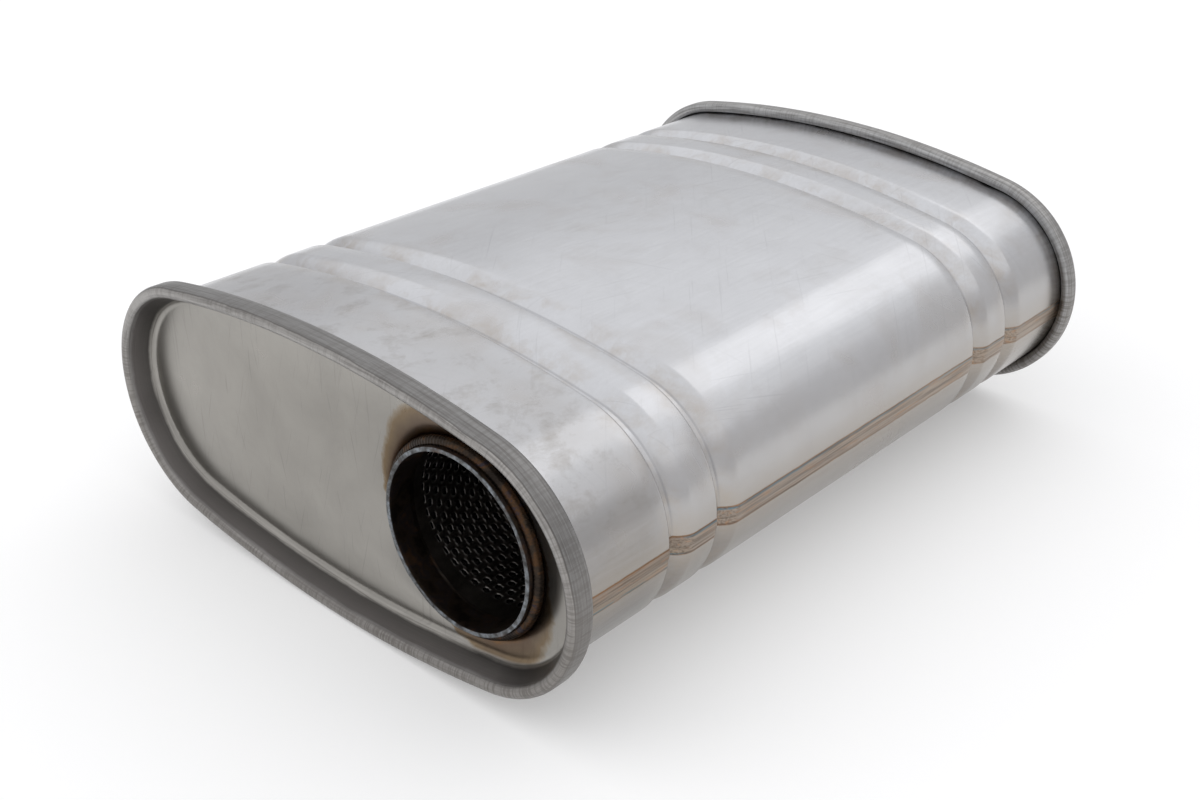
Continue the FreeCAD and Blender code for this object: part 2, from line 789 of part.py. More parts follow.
# Steel wool: a thin sleeve around the core in every bay
wool_sleeve = new_body("wool_sleeve")
wool_track = new_sketch(wool_sleeve, "wool_track", "XY_Plane")
draw_core_line(wool_track)
wool_section = new_sketch(wool_sleeve, "wool_section", "XZ_Plane")
draw_circle(wool_section, inlet_offset, core_outer + fit_gap)
draw_circle(wool_section, inlet_offset, wool_outer)
core_start = front_face + core_setback
wool_section.AttachmentOffset = FreeCAD.Placement(
    FreeCAD.Vector(0, 0, -core_start.value), FreeCAD.Rotation())
wool_section.setExpression(".AttachmentOffset.Base.z", (-core_start).text)
wool_pipe = wool_sleeve.newObject("PartDesign::AdditivePipe", "wool_pipe")
wool_pipe.Profile = wool_section
wool_pipe.Spine = (wool_track, [f"Edge{i}" for i in range(1, 6)])
wool_pipe.Mode = "Standard"
wool_sleeve.Tip = wool_pipe
rest_on_floor(wool_sleeve)

wools = []
for name, begin, end in bays:
    block = doc.addObject("Part::Box", name + "_wool_block")
    block.setExpression("Length", (half_width * 2).text)
    block.setExpression("Width", (end - begin).text)
    block.setExpression("Height", (half_height * 2).text)
    block.setExpression("Placement.Base.x", (-half_width).text)
    block.setExpression("Placement.Base.y", begin.text)
    block.setExpression("Placement.Base.z", rim_height.text)
    wool = doc.addObject("Part::Common", name + "_wool")
    wool.Label = name + "_wool"
    wool.Base = wool_sleeve
    wool.Tool = block
    wools.append(wool)

# Packing: wound glass fibre that fills each bay around the wool
packings = []
for name, begin, end in bays:
    body = new_body(name + "_packing")
    outline = new_sketch(body, name + "_packing_outline", "XZ_Plane")
    draw_oval(outline, bay_inset)
    outline.AttachmentOffset = FreeCAD.Placement(
        FreeCAD.Vector(0, 0, -begin.value), FreeCAD.Rotation())
    outline.setExpression(".AttachmentOffset.Base.z", (-begin).text)
    fill = body.newObject("PartDesign::Pad", name + "_packing_fill")
    fill.Profile = outline
    fill.Length = (end - begin).value
    fill.setExpression("Length", (end - begin).text)
    fill.Reversed = True
    body.Tip = fill
    doc.recompute()
    cut_for_core(body, name + "_packing_way", wool_outer + fit_gap)
    rest_on_floor(body)
    packings.append(body)

# Every piece is checked before any of them is written
doc.recompute()
pieces = [
    shell, front_cap, rear_cap, seam_weld,
    inlet_neck, outlet_neck, inlet_weld, outlet_weld,
    core, inlet_core_weld, outlet_core_weld,
    front_baffle, rear_baffle,
] + wools + packings

for item in doc.Objects:
    if "Invalid" in item.State or "Error" in item.State:
        raise RuntimeError(f"{item.Name} did not build: {item.State}")
for piece in pieces:
    if piece.Shape.isNull() or not piece.Shape.isValid():
        raise RuntimeError(f"{piece.Label} has no sound shape")
    if len(piece.Shape.Solids) != 1:
        raise RuntimeError(f"{piece.Label} is not one solid")

os.makedirs("parts", exist_ok=True)
for piece in pieces:
    piece.Shape.exportStep(f"parts/{piece.Label}.step")
    print(piece.Label, round(piece.Shape.Volume))
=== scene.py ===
import json
import math

import bmesh
import bpy
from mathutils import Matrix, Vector

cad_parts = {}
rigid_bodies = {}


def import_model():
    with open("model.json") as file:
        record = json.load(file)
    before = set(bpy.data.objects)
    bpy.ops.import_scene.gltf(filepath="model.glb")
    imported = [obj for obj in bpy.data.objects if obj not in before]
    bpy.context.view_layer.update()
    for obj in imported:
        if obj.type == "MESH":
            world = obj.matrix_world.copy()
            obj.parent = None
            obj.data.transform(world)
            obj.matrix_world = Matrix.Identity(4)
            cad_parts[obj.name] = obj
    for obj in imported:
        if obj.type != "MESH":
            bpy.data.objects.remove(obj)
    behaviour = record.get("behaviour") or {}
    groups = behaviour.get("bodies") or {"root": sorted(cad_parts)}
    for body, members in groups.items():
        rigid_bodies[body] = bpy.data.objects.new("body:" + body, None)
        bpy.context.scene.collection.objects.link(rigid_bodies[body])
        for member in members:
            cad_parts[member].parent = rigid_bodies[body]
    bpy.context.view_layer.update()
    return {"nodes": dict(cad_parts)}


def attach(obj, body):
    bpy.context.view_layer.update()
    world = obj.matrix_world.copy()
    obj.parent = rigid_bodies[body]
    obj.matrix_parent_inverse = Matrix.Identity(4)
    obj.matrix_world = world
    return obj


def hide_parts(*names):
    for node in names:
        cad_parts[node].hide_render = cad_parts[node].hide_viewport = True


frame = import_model()


# Shell: one stainless sheet wrapped to a four-arc oval, with two pairs of
# beads rolled inwards and both ends hooked outwards for the lock seams.
LENGTH = 0.387
HALF_WIDTH = 0.1396
HALF_HEIGHT = 0.0596
END_RADIUS = 0.0514
FLOOR_LIFT = 0.066
SHELL_SHEET = 0.0012
BEAD_DEPTH = 0.005
BEAD_HALF = 0.0082
BEAD_WALL_STOP = -0.36
BEAD_FLAT_STOP = -0.05
BEAD_STEPS = 28
BEADS = (0.068, 0.0975, LENGTH - 0.089, LENGTH - 0.0575)
HOOK_ROUND = 0.0003
HOOK_LEVEL = 0.0046
HOOK_TAIL = 0.0070
FLARE_RUN = 0.0114
REAR_FLARE_RUN = 0.009
FLARE_SLOPE = 0.4286
SHELL_STEP = 0.006
INNER_STEP = 0.04
INNER_BEAD_STEPS = 12
OVAL_COLUMNS = 320


def put(tree, kind, inputs=None, **settings):
    """Add a node, set its settings, and fill or link its inputs."""
    made = tree.nodes.new(kind)
    for key, value in settings.items():
        setattr(made, key, value)
    for key, value in (inputs or {}).items():
        if isinstance(value, bpy.types.NodeSocket):
            tree.links.new(value, made.inputs[key])
        else:
            made.inputs[key].default_value = value
    return made


def home(*terms):
    """The node tree that the first socket among the terms belongs to."""
    return next(term.id_data for term in terms if isinstance(term, bpy.types.NodeSocket))


def calc(operation, *terms):
    """One step of arithmetic on numbers or number sockets."""
    return put(home(*terms), "ShaderNodeMath", dict(enumerate(terms)),
               operation=operation).outputs[0]


def times(first, second):
    return calc("MULTIPLY", first, second)


def plus(first, second):
    return calc("ADD", first, second)


def minus(first, second):
    return calc("SUBTRACT", first, second)


def over(first, second):
    return calc("DIVIDE", first, second)


def times_plus(first, second, third):
    return calc("MULTIPLY_ADD", first, second, third)


def vectors(operation, first, second):
    """One step of arithmetic on two vectors."""
    return put(home(first, second), "ShaderNodeVectorMath", {0: first, 1: second},
               operation=operation).outputs[0]


def scaled(vector, share):
    return put(vector.id_data, "ShaderNodeVectorMath", {0: vector, "Scale": share},
               operation="SCALE").outputs[0]


def axes(vector):
    """The X, Y and Z of a vector."""
    return put(vector.id_data, "ShaderNodeSeparateXYZ", {"Vector": vector}).outputs


def point(x=0.0, y=0.0, z=0.0):
    """A vector from its X, Y and Z."""
    return put(home(x, y, z), "ShaderNodeCombineXYZ", {"X": x, "Y": y, "Z": z}).outputs[0]


def placed(geometry, place):
    """Put the points of a geometry at the given place."""
    return put(geometry.id_data, "GeometryNodeSetPosition", {
        "Geometry": geometry, "Position": place}).outputs[0]


def pushed_out(geometry, heave):
    """Move the points of a geometry along their normals."""
    normal = put(geometry.id_data, "GeometryNodeInputNormal").outputs[0]
    return put(geometry.id_data, "GeometryNodeSetPosition", {
        "Geometry": geometry, "Offset": scaled(normal, heave)}).outputs[0]


def stored(geometry, name, value, kind="FLOAT"):
    """Keep a value on the points under a name that the materials can read."""
    return put(geometry.id_data, "GeometryNodeStoreNamedAttribute", {
        "Geometry": geometry, "Name": name, "Value": value},
        data_type=kind, domain="POINT").outputs[0]


def add_object(name, data):
    """A new object in the scene."""
    made = bpy.data.objects.new(name, data)
    bpy.context.collection.objects.link(made)
    return made


def geometry_tree(name, inputs):
    """A geometry node group with named inputs and one mesh output."""
    tree = bpy.data.node_groups.new(name, "GeometryNodeTree")
    tree.interface.new_socket(name="Mesh", in_out="OUTPUT", socket_type="NodeSocketGeometry")
    for label, kind, value in inputs:
        socket = tree.interface.new_socket(name=label, in_out="INPUT", socket_type=kind)
        if value is not None:
            socket.default_value = value
    return tree


def close_tree(tree, geometry, metal, smooth=True):
    """Smooth, realise and coat the geometry, and make it the tree's mesh."""
    if smooth:
        geometry = put(tree, "GeometryNodeSetShadeSmooth", {"Geometry": geometry}).outputs[0]
    single = put(tree, "GeometryNodeRealizeInstances", {"Geometry": geometry})
    coated = put(tree, "GeometryNodeSetMaterial", {
        "Geometry": single.outputs[0], "Material": metal})
    put(tree, "NodeGroupOutput", {"Mesh": coated.outputs[0]})


def grow(name, tree, inputs):
    """Run a geometry tree on an empty mesh and keep what it makes as a plain mesh."""
    seed = add_object(name, bpy.data.meshes.new(name + "_seed"))
    growth = seed.modifiers.new(tree.name, "NODES")
    growth.node_group = tree
    for socket in tree.interface.items_tree:
        if socket.in_out == "INPUT" and socket.name in inputs:
            growth[socket.identifier] = inputs[socket.name]
    seed.update_tag()
    shaped = seed.evaluated_get(bpy.context.evaluated_depsgraph_get())
    mesh = bpy.data.meshes.new_from_object(shaped)
    seed.modifiers.clear()
    seed.data = mesh
    mesh.name = name
    face_out(mesh)
    return seed


def face_out(mesh):
    """Point every face of a closed mesh outwards."""
    work = bmesh.new()
    work.from_mesh(mesh)
    bmesh.ops.recalc_face_normals(work, faces=work.faces)
    work.to_mesh(mesh)
    work.free()


def bow(centre, radius, start, stop, steps):
    """Points of an arc in a section, angles in degrees."""
    turns = [math.radians(start + (stop - start) * i / steps) for i in range(steps + 1)]
    return [(centre[0] + radius * math.cos(a), centre[1] + radius * math.sin(a)) for a in turns]


def bead_level(y):
    """Height of the shell's face at y: a steep near wall, a flat, then a long rise."""
    for middle in BEADS:
        share = (y - middle) / BEAD_HALF
        if -1.0 < share < BEAD_WALL_STOP:
            turn = math.pi * (share + 1.0) / (BEAD_WALL_STOP + 1.0)
            return -BEAD_DEPTH / 2 * (1 - math.cos(turn))
        if BEAD_WALL_STOP <= share <= BEAD_FLAT_STOP:
            return -BEAD_DEPTH
        if BEAD_FLAT_STOP < share < 1.0:
            rise = (share - BEAD_FLAT_STOP) / (1.0 - BEAD_FLAT_STOP)
            return -BEAD_DEPTH * (1 - rise) ** 2
    return 0.0


def shell_line(start, stop, flat_step, bead_steps):
    """Stations along the shell, close together in the beads."""
    marks = [start]
    for middle in BEADS:
        reach = middle - BEAD_HALF
        count = max(1, round((reach - marks[-1]) / flat_step))
        marks += [marks[-1] + (reach - marks[-1]) * (i + 1) / count for i in range(count)]
        marks += [reach + 2 * BEAD_HALF * (i + 1) / bead_steps for i in range(bead_steps)]
    count = max(1, round((stop - marks[-1]) / flat_step))
    first = marks[-1]
    marks += [first + (stop - first) * (i + 1) / count for i in range(count)]
    return marks


def section_curve(name, points, closed):
    """A section as a curve: x is outwards from the shell's face, y along the muffler."""
    data = bpy.data.curves.new(name, "CURVE")
    line = data.splines.new("POLY")
    line.points.add(len(points) - 1)
    for place, (out, along) in zip(line.points, points):
        place.co = (out, along - LENGTH / 2, 0, 1)
    line.use_cyclic_u = closed
    return add_object(name, data)


def mirror(points):
    """A front section turned round for the rear end."""
    return [(out, LENGTH - along) for out, along in reversed(points)]


oval = geometry_tree("Oval outline", [
    ("Half Width", "NodeSocketFloat", HALF_WIDTH),
    ("Half Height", "NodeSocketFloat", HALF_HEIGHT),
    ("End Radius", "NodeSocketFloat", END_RADIUS),
    ("Columns", "NodeSocketInt", OVAL_COLUMNS),
])
given = put(oval, "NodeGroupInput").outputs
reach = minus(given["Half Width"], given["End Radius"])
tall_square = calc("POWER", given["Half Height"], 2.0)
square = minus(times_plus(reach, reach, tall_square), calc("POWER", given["End Radius"], 2.0))
wide = over(square, times(minus(given["Half Height"], given["End Radius"]), 2.0))
drop = minus(given["Half Height"], wide)
turn = calc("ARCTAN2", times(drop, -1.0), reach)
tight_run = times(given["End Radius"], turn)
quarter = times_plus(wide, minus(math.pi / 2, turn), tight_run)
share = over(put(oval, "GeometryNodeInputIndex").outputs[0], given["Columns"])
run = calc("PINGPONG", times(times(share, 4.0), quarter), quarter)
on_top = calc("GREATER_THAN", run, tight_run)
on_end = minus(1.0, on_top)
radius = plus(times(on_top, wide), times(on_end, given["End Radius"]))
end_lean = over(run, given["End Radius"])
top_lean = plus(turn, over(minus(run, tight_run), wide))
lean = plus(times(on_end, end_lean), times(on_top, top_lean))
spin = times(share, math.tau)
across = times_plus(radius, calc("COSINE", lean), times(on_end, reach))
upward = times_plus(radius, calc("SINE", lean), times(on_top, drop))
place = point(times(across, calc("SIGN", calc("COSINE", spin))),
              times(upward, calc("SIGN", calc("SINE", spin))))
line = put(oval, "GeometryNodeMeshLine", {"Count": given["Columns"]}).outputs[0]
girth = over(times(quarter, 4.0), math.tau)
rolled = point(times(girth, calc("COSINE", spin)), times(girth, calc("SINE", spin)))
marked = stored(placed(line, place), "rolled", rolled, "FLOAT_VECTOR")
path = put(oval, "GeometryNodeMeshToCurve", {"Mesh": marked})
loop = put(oval, "GeometryNodeSetSplineCyclic", {"Geometry": path.outputs[0], "Cyclic": True})
level = put(oval, "GeometryNodeSetCurveNormal", {"Curve": loop.outputs[0]}, mode="Z_UP")
put(oval, "NodeGroupOutput", {"Mesh": level.outputs[0]})

wrap = geometry_tree("Sheet swept round the oval", [
    ("Section", "NodeSocketObject", None),
    ("Columns", "NodeSocketInt", OVAL_COLUMNS),
    ("Ripple Height", "NodeSocketFloat", 0.0001),
    ("Ripple Scale", "NodeSocketFloat", 14.0),
    ("Centre Height", "NodeSocketFloat", FLOOR_LIFT),
    ("Metal", "NodeSocketMaterial", None),
])
given = put(wrap, "NodeGroupInput").outputs
outline = put(wrap, "GeometryNodeGroup", node_tree=oval)
wrap.links.new(given["Columns"], outline.inputs["Columns"])
drawn = put(wrap, "GeometryNodeObjectInfo", {"Object": given["Section"]})
measured = stored(drawn.outputs["Geometry"], "across",
                  put(wrap, "GeometryNodeSplineParameter").outputs["Length"])
swept = put(wrap, "GeometryNodeCurveToMesh", {
    "Curve": outline.outputs[0], "Profile Curve": measured})
stood = put(wrap, "GeometryNodeTransform", {
    "Geometry": swept.outputs[0], "Rotation": (math.pi / 2, 0, 0),
    "Translation": point(z=given["Centre Height"])})
ripple = put(wrap, "ShaderNodeTexNoise", {
    "Scale": given["Ripple Scale"], "Detail": 2.0}, noise_dimensions="3D")
heave = times(minus(ripple.outputs[0], 0.5), times(given["Ripple Height"], 2.0))
close_tree(wrap, pushed_out(stood.outputs[0], heave), given["Metal"])


def flared(points, run):
    """Lean the points near an end outwards, as the seam's layers do."""
    return [(out + max(0.0, run - along) * FLARE_SLOPE, along) for out, along in points]


def hook_out(run):
    """The outer face of a hooked end, from its tail to the plain sheet."""
    return flared([(2 * HOOK_ROUND, HOOK_TAIL)] + bow(
        (HOOK_ROUND, HOOK_LEVEL), HOOK_ROUND, 0, -180, 6) + [(0.0, run)], run)


def hook_in(run):
    """The inner face of a hooked end, from the plain sheet to its tail."""
    return flared([(-SHELL_SHEET, run)] + bow(
        (HOOK_ROUND, HOOK_LEVEL), HOOK_ROUND + SHELL_SHEET, -180, 0, 8) + [
        (2 * HOOK_ROUND + SHELL_SHEET, HOOK_TAIL)], run)


face = [(bead_level(y), y) for y in shell_line(
    FLARE_RUN, LENGTH - REAR_FLARE_RUN, SHELL_STEP, BEAD_STEPS)[1:-1]]
back = [(bead_level(y) - SHELL_SHEET, y) for y in shell_line(
    FLARE_RUN, LENGTH - REAR_FLARE_RUN, INNER_STEP, INNER_BEAD_STEPS)[1:-1]]
shell_section = section_curve(
    "shell_section", hook_out(FLARE_RUN) + face + mirror(hook_out(REAR_FLARE_RUN))
    + mirror(hook_in(REAR_FLARE_RUN)) + back[::-1] + hook_in(FLARE_RUN), True)


def shader_group(name, inputs, outputs):
    """A shader node group with named inputs and outputs."""
    tree = bpy.data.node_groups.new(name, "ShaderNodeTree")
    for label, kind, value in inputs:
        socket = tree.interface.new_socket(name=label, in_out="INPUT", socket_type=kind)
        if value is not None:
            socket.default_value = value
    for label, kind in outputs:
        tree.interface.new_socket(name=label, in_out="OUTPUT", socket_type=kind)
    return tree


def ramp(value, stops):
    """A colour ramp fed by a value; stops are (position, colour)."""
    made = put(value.id_data, "ShaderNodeValToRGB", {"Fac": value})
    bar = made.color_ramp.elements
    for i, (where, colour) in enumerate(stops):
        stop = bar[i] if i < 2 else bar.new(where)
        stop.position = where
        stop.color = colour if len(colour) == 4 else (*colour, 1.0)
    return made.outputs["Color"]


def between(value, start, stop, curve="LINEAR"):
    """A share that is 0 at start and 1 at stop."""
    return put(value.id_data, "ShaderNodeMapRange", {
        "Value": value, "From Min": start, "From Max": stop}, interpolation_type=curve).outputs[0]


def grey(level):
    return (level, level, level, 1.0)


def dimmed(colour, share):
    return (*(part * share for part in colour[:3]), 1.0)


def fade(value, start, stop, low=0.0, high=1.0):
    """A ramp between two greys."""
    return ramp(value, [(start, grey(low)), (stop, grey(high))])


def blend(share, first, second, kind="MIX"):
    """Mix two colours."""
    made = put(home(share, first, second), "ShaderNodeMix", data_type="RGBA", blend_type=kind)
    for index, term in ((0, share), (6, first), (7, second)):
        if isinstance(term, bpy.types.NodeSocket):
            made.id_data.links.new(term, made.inputs[index])
        else:
            made.inputs[index].default_value = term if index == 0 else (*term[:3], 1.0)
    return made.outputs[2]


def stretch(vector, scale, shift=(0, 0, 0), turn=(0, 0, 0)):
    """Scale, shift and turn coordinates."""
    return put(vector.id_data, "ShaderNodeMapping", {
        "Vector": vector, "Scale": scale, "Location": shift, "Rotation": turn}).outputs[0]


def noise(vector, scale, detail=2.0, rough=0.5, warp=0.0):
    return put(vector.id_data, "ShaderNodeTexNoise", {
        "Vector": vector, "Scale": scale, "Detail": detail, "Roughness": rough,
        "Distortion": warp}).outputs[0]


def surface(name, colour, rough, build, metallic=1.0):
    """A material whose colour, roughness, height and depth are drawn by build."""
    made = bpy.data.materials.new(name)
    made.use_nodes = True
    tree = made.node_tree
    shader = tree.nodes["Principled BSDF"]
    shader.inputs["Metallic"].default_value = metallic
    vector = put(tree, "ShaderNodeTexCoord").outputs["Object"]
    base, gloss, height, depth = build(tree, vector, colour, rough)
    tree.links.new(base, shader.inputs["Base Color"])
    tree.links.new(gloss, shader.inputs["Roughness"])
    relief = put(tree, "ShaderNodeBump", {"Height": height, "Strength": 1.0, "Distance": depth})
    tree.links.new(relief.outputs[0], shader.inputs["Normal"])
    return made


# Handling marks that all the sheet carries: cloudy smudges, fine scratches in
# random directions and a faint mill grain along the sheet.
marks = shader_group("Handling marks", [
    ("Vector", "NodeSocketVector", None),
    ("Cloud Scale", "NodeSocketFloat", 18.0),
    ("Scratch Scale", "NodeSocketFloat", 1.0),
    ("Grain", "NodeSocketFloat", 1.0),
], [("Cloud", "NodeSocketFloat"), ("Scratch", "NodeSocketFloat"), ("Grain", "NodeSocketFloat")])
given = put(marks, "NodeGroupInput").outputs
clouds = put(marks, "ShaderNodeTexNoise", {
    "Vector": given["Vector"], "Scale": given["Cloud Scale"], "Detail": 5.0,
    "Roughness": 0.62, "Distortion": 0.4}).outputs[0]
lines = []
for number, angle in enumerate((0.45, -0.85, 1.35)):
    course = put(marks, "ShaderNodeMapping", {
        "Vector": given["Vector"], "Rotation": (0.15 * number, 0.1, angle),
        "Scale": (0.07, 0.0011, 0.05)}, vector_type="TEXTURE").outputs[0]
    drawn = noise(course, given["Scratch Scale"], 2.0, 0.5, 0.15)
    lines.append(fade(drawn, 0.665, 0.72))
strokes = calc("MAXIMUM", lines[0], calc("MAXIMUM", lines[1], lines[2]))
fine = noise(stretch(given["Vector"], (700.0, 30.0, 700.0)), 1.0, 3.0)
put(marks, "NodeGroupOutput", {
    "Cloud": clouds, "Scratch": strokes, "Grain": times(minus(fine, 0.5), given["Grain"])})


def marked_on(vector, cloud_scale, scratch_scale, grain):
    drawn = put(vector.id_data, "ShaderNodeGroup", {
        "Vector": vector, "Cloud Scale": cloud_scale, "Scratch Scale": scratch_scale,
        "Grain": grain}, node_tree=marks).outputs
    return drawn["Cloud"], drawn["Scratch"], drawn["Grain"]


# The heat beside the seam: a grey-brown band with a brown line along each edge
# and a blue one inside it, all streaked along the seam.
TINT_LOW = -0.0084
TINT_HIGH = 0.0016

heat = shader_group("Seam heat tint", [("Vector", "NodeSocketVector", None)], [
    ("Color", "NodeSocketColor"), ("Share", "NodeSocketFloat"), ("Streak", "NodeSocketFloat")])
given = put(heat, "NodeGroupInput").outputs
spot = axes(given["Vector"])
wander = noise(stretch(given["Vector"], (0.0, 70.0, 0.0)), 1.0, 3.0, 0.6)
level = over(minus(spot["Z"], FLOOR_LIFT + TINT_LOW), TINT_HIGH - TINT_LOW)
level = times_plus(minus(wander, 0.5), 0.13, level)
near_band = ramp(level, [
    (0.04, (0.22, 0.14, 0.09)), (0.10, (0.10, 0.18, 0.21)), (0.16, (0.34, 0.28, 0.22)),
    (0.50, (0.29, 0.24, 0.195)), (0.86, (0.30, 0.245, 0.20)), (0.94, (0.22, 0.11, 0.05)),
    (0.99, (0.30, 0.22, 0.16))])
far_band = ramp(level, [
    (0.04, (0.30, 0.22, 0.16)), (0.10, (0.17, 0.11, 0.08)), (0.18, (0.35, 0.29, 0.24)),
    (0.50, (0.34, 0.29, 0.245)), (0.80, (0.36, 0.30, 0.25)), (0.86, (0.15, 0.24, 0.29)),
    (0.91, (0.16, 0.20, 0.22)), (0.95, (0.26, 0.12, 0.05)), (0.99, (0.34, 0.26, 0.19))])
beyond = between(spot["Y"], -0.125, -0.118)
band = blend(beyond, near_band, far_band)
away = between(spot["Y"], -0.05, 0.08)
band = blend(times(away, 0.4), band, (0.42, 0.34, 0.27))
streak = noise(stretch(given["Vector"], (1500.0, 22.0, 1500.0)), 1.0, 4.0, 0.65, 0.5)
band = blend(fade(streak, 0.38, 0.54, 0.7, 0), band, (0.12, 0.085, 0.06))
rust = noise(stretch(given["Vector"], (700.0, 60.0, 700.0), (3, 1, 2)), 1.0, 3.0)
band = blend(fade(rust, 0.57, 0.68, 0, 0.55), band, (0.40, 0.23, 0.13))
shown = ramp(level, [(0.0, grey(0)), (0.06, grey(1)), (0.94, grey(1)), (1.0, grey(0))])
put(heat, "NodeGroupOutput", {
    "Color": band, "Streak": streak, "Share": times(shown, calc("GREATER_THAN", spot["X"], 0.1))})


def heated(vector):
    drawn = put(vector.id_data, "ShaderNodeGroup", {"Vector": vector}, node_tree=heat).outputs
    return drawn["Color"], drawn["Share"], drawn["Streak"]


def by_beads(along, shift, outer, inner):
    """A share that is 1 near the line of each bead and 0 away from it."""
    shares = []
    for middle in BEADS:
        off = minus(along, middle - LENGTH / 2 - BEAD_HALF * shift)
        shares.append(between(calc("ABSOLUTE", off), outer, inner))
    return calc("MAXIMUM", calc("MAXIMUM", shares[0], shares[1]),
                calc("MAXIMUM", shares[2], shares[3]))


def shell_finish(tree, vector, colour, rough):
    cloud, scratch, grain = marked_on(vector, 16.0, 1.0, 1.0)
    place = axes(vector)
    base = blend(fade(cloud, 0.35, 0.7), colour, dimmed(colour, 0.94))
    # Painted shade: the sheet is darkened and warmed towards the bottom of its sides, and more
    # near the front end, most of all low down.
    low = between(place["Z"], FLOOR_LIFT + 0.042, FLOOR_LIFT - 0.010)
    low_shade = blend(low, grey(1.0), (0.56, 0.51, 0.45))
    front = between(place["Y"], -0.118, -0.150, "SMOOTHSTEP")
    low_and_front_shade = blend(times(front, times_plus(low, 0.7, 0.25)), low_shade, (0.40, 0.37, 0.33))
    base = blend(1.0, base, low_and_front_shade, "MULTIPLY")
    smudge = noise(vector, 26.0, 3.0, 0.55, 0.5)
    base = blend(fade(smudge, 0.52, 0.74, 0, 0.3), base, (0.40, 0.36, 0.32))
    grime = noise(stretch(vector, (1.0, 0.7, 1.0)), 75.0, 5.0, 0.74, 0.2)
    grimed = ramp(grime, [(0.50, grey(0)), (0.60, grey(0.4)), (0.74, grey(0.9))])
    base = blend(times(times_plus(front, 0.55, 0.10), grimed), base, (0.27, 0.25, 0.225))
    beside_bead = by_beads(place["Y"], 0.3, 0.014, 0.003)
    spots = fade(noise(vector, 60.0, 5.0, 0.66, 0.3), 0.46, 0.66)
    base = blend(times(times(spots, beside_bead), 0.5), base, (0.40, 0.345, 0.285))
    # Painted shade: a thin dark line along the bottom bend of each bead.
    crease_shade = by_beads(place["Y"], 0.05, 0.0006, 0.0002)
    base = blend(times(crease_shade, 0.45), base, (0.26, 0.26, 0.27))
    scuffs = between(place["Y"], LENGTH / 2 - 0.026, LENGTH / 2 - 0.012)
    rubbed = fade(noise(vector, 70.0, 4.0, 0.7), 0.48, 0.66)
    base = blend(times(times(scuffs, rubbed), 0.45), base, (0.38, 0.33, 0.28))
    beside = between(calc("ABSOLUTE", minus(place["Z"], FLOOR_LIFT - 0.0034)), 0.015, 0.006)
    on_side = times(beside, calc("GREATER_THAN", place["X"], 0.1))
    base = blend(times(on_side, 0.35), base, (0.42, 0.37, 0.31))
    base = blend(times(scratch, 0.16), base, (0.34, 0.34, 0.35))
    base = blend(times_plus(grain, 0.4, 0.10), base, (0.45, 0.45, 0.46))
    tint, tinted, _ = heated(vector)
    base = blend(tinted, base, tint)
    gloss = plus(times(minus(smudge, 0.5), 0.16), times_plus(tinted, 0.10, rough))
    waves = noise(vector, 26.0, 1.0)
    return base, gloss, waves, 0.0001


shell_steel = surface("satin_stainless_sheet", (0.60, 0.605, 0.625), 0.25, shell_finish)
shell = grow("shell_sheet", wrap, {
    "Section": shell_section, "Columns": OVAL_COLUMNS, "Ripple Height": 0.00015,
    "Ripple Scale": 16.0, "Metal": shell_steel})
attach(shell, "root")
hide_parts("shell")


# Seam weld: closes the wrapped sheet along the inlet's side. It was rolled
# nearly flat, and the heat left a tan band with blue and orange edges.
SEAM_LOW = -0.0045
SEAM_HIGH = 0.0013
SEAM_PROUD = 0.00025
SEAM_FRONT = 0.010
SEAM_REAR = 0.008
SEAM_CUTS = 10
SEAM_STEP = 0.004
SEAM_LIFT = 0.00004


def seam_strip():
    work = bmesh.new()
    stations = shell_line(SEAM_FRONT, LENGTH - SEAM_REAR, SEAM_STEP, BEAD_STEPS)
    rows = []
    for y in stations:
        ring = []
        for side in range(SEAM_CUTS + 1):
            z = SEAM_LOW + (SEAM_HIGH - SEAM_LOW) * side / SEAM_CUTS
            crown = SEAM_PROUD * math.sin(math.pi * side / SEAM_CUTS) + SEAM_LIFT
            reach = END_RADIUS + bead_level(y) + crown
            ring.append((HALF_WIDTH - END_RADIUS + math.sqrt(reach ** 2 - z ** 2), z))
        for side in range(SEAM_CUTS, -1, -1):
            z = SEAM_LOW + (SEAM_HIGH - SEAM_LOW) * side / SEAM_CUTS
            reach = END_RADIUS + bead_level(y) - SHELL_SHEET
            ring.append((HALF_WIDTH - END_RADIUS + math.sqrt(reach ** 2 - z ** 2), z))
        rows.append([work.verts.new((x, y - LENGTH / 2, z + FLOOR_LIFT)) for x, z in ring])
    for near, far in zip(rows, rows[1:]):
        for i in range(len(near)):
            j = (i + 1) % len(near)
            work.faces.new((near[i], near[j], far[j], far[i]))
    work.faces.new(rows[0])
    work.faces.new(rows[-1][::-1])
    mesh = bpy.data.meshes.new("seam_strip")
    work.to_mesh(mesh)
    work.free()
    face_out(mesh)
    for side in mesh.polygons:
        side.use_smooth = len(side.vertices) == 4
    return add_object("seam_strip", mesh)


def seam_finish(tree, vector, colour, rough):
    tint, tinted, streak = heated(vector)
    gloss = times_plus(streak, 0.2, rough)
    return blend(tinted, colour, tint), gloss, streak, 0.00012


seam = seam_strip()
seam.data.materials.append(surface("heat_tinted_seam", (0.36, 0.29, 0.22), 0.32, seam_finish))
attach(seam, "root")
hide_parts("seam_weld")


# Caps: pressed steel, a flat panel inside a raised rim whose edge is folded
# down over the shell's hook. The seaming rolls left marks along the rim.
RIM_HEIGHT = 0.0064
NOSE_ROUND = 0.0029
FOLD_ROUND = 0.003
WALL_LEAN = 23.2
FRONT_RIM_WIDTH = 0.0115
REAR_RIM_WIDTH = 0.009
RECESS = 0.0126
CAP_SHEET = 0.0015
CAP_COLUMNS = 480
FILLET_ROUND = 0.003
PANEL_EDGE = -0.0063
INLET_OFFSET = 0.0757
NECK_OUTER = 0.0403


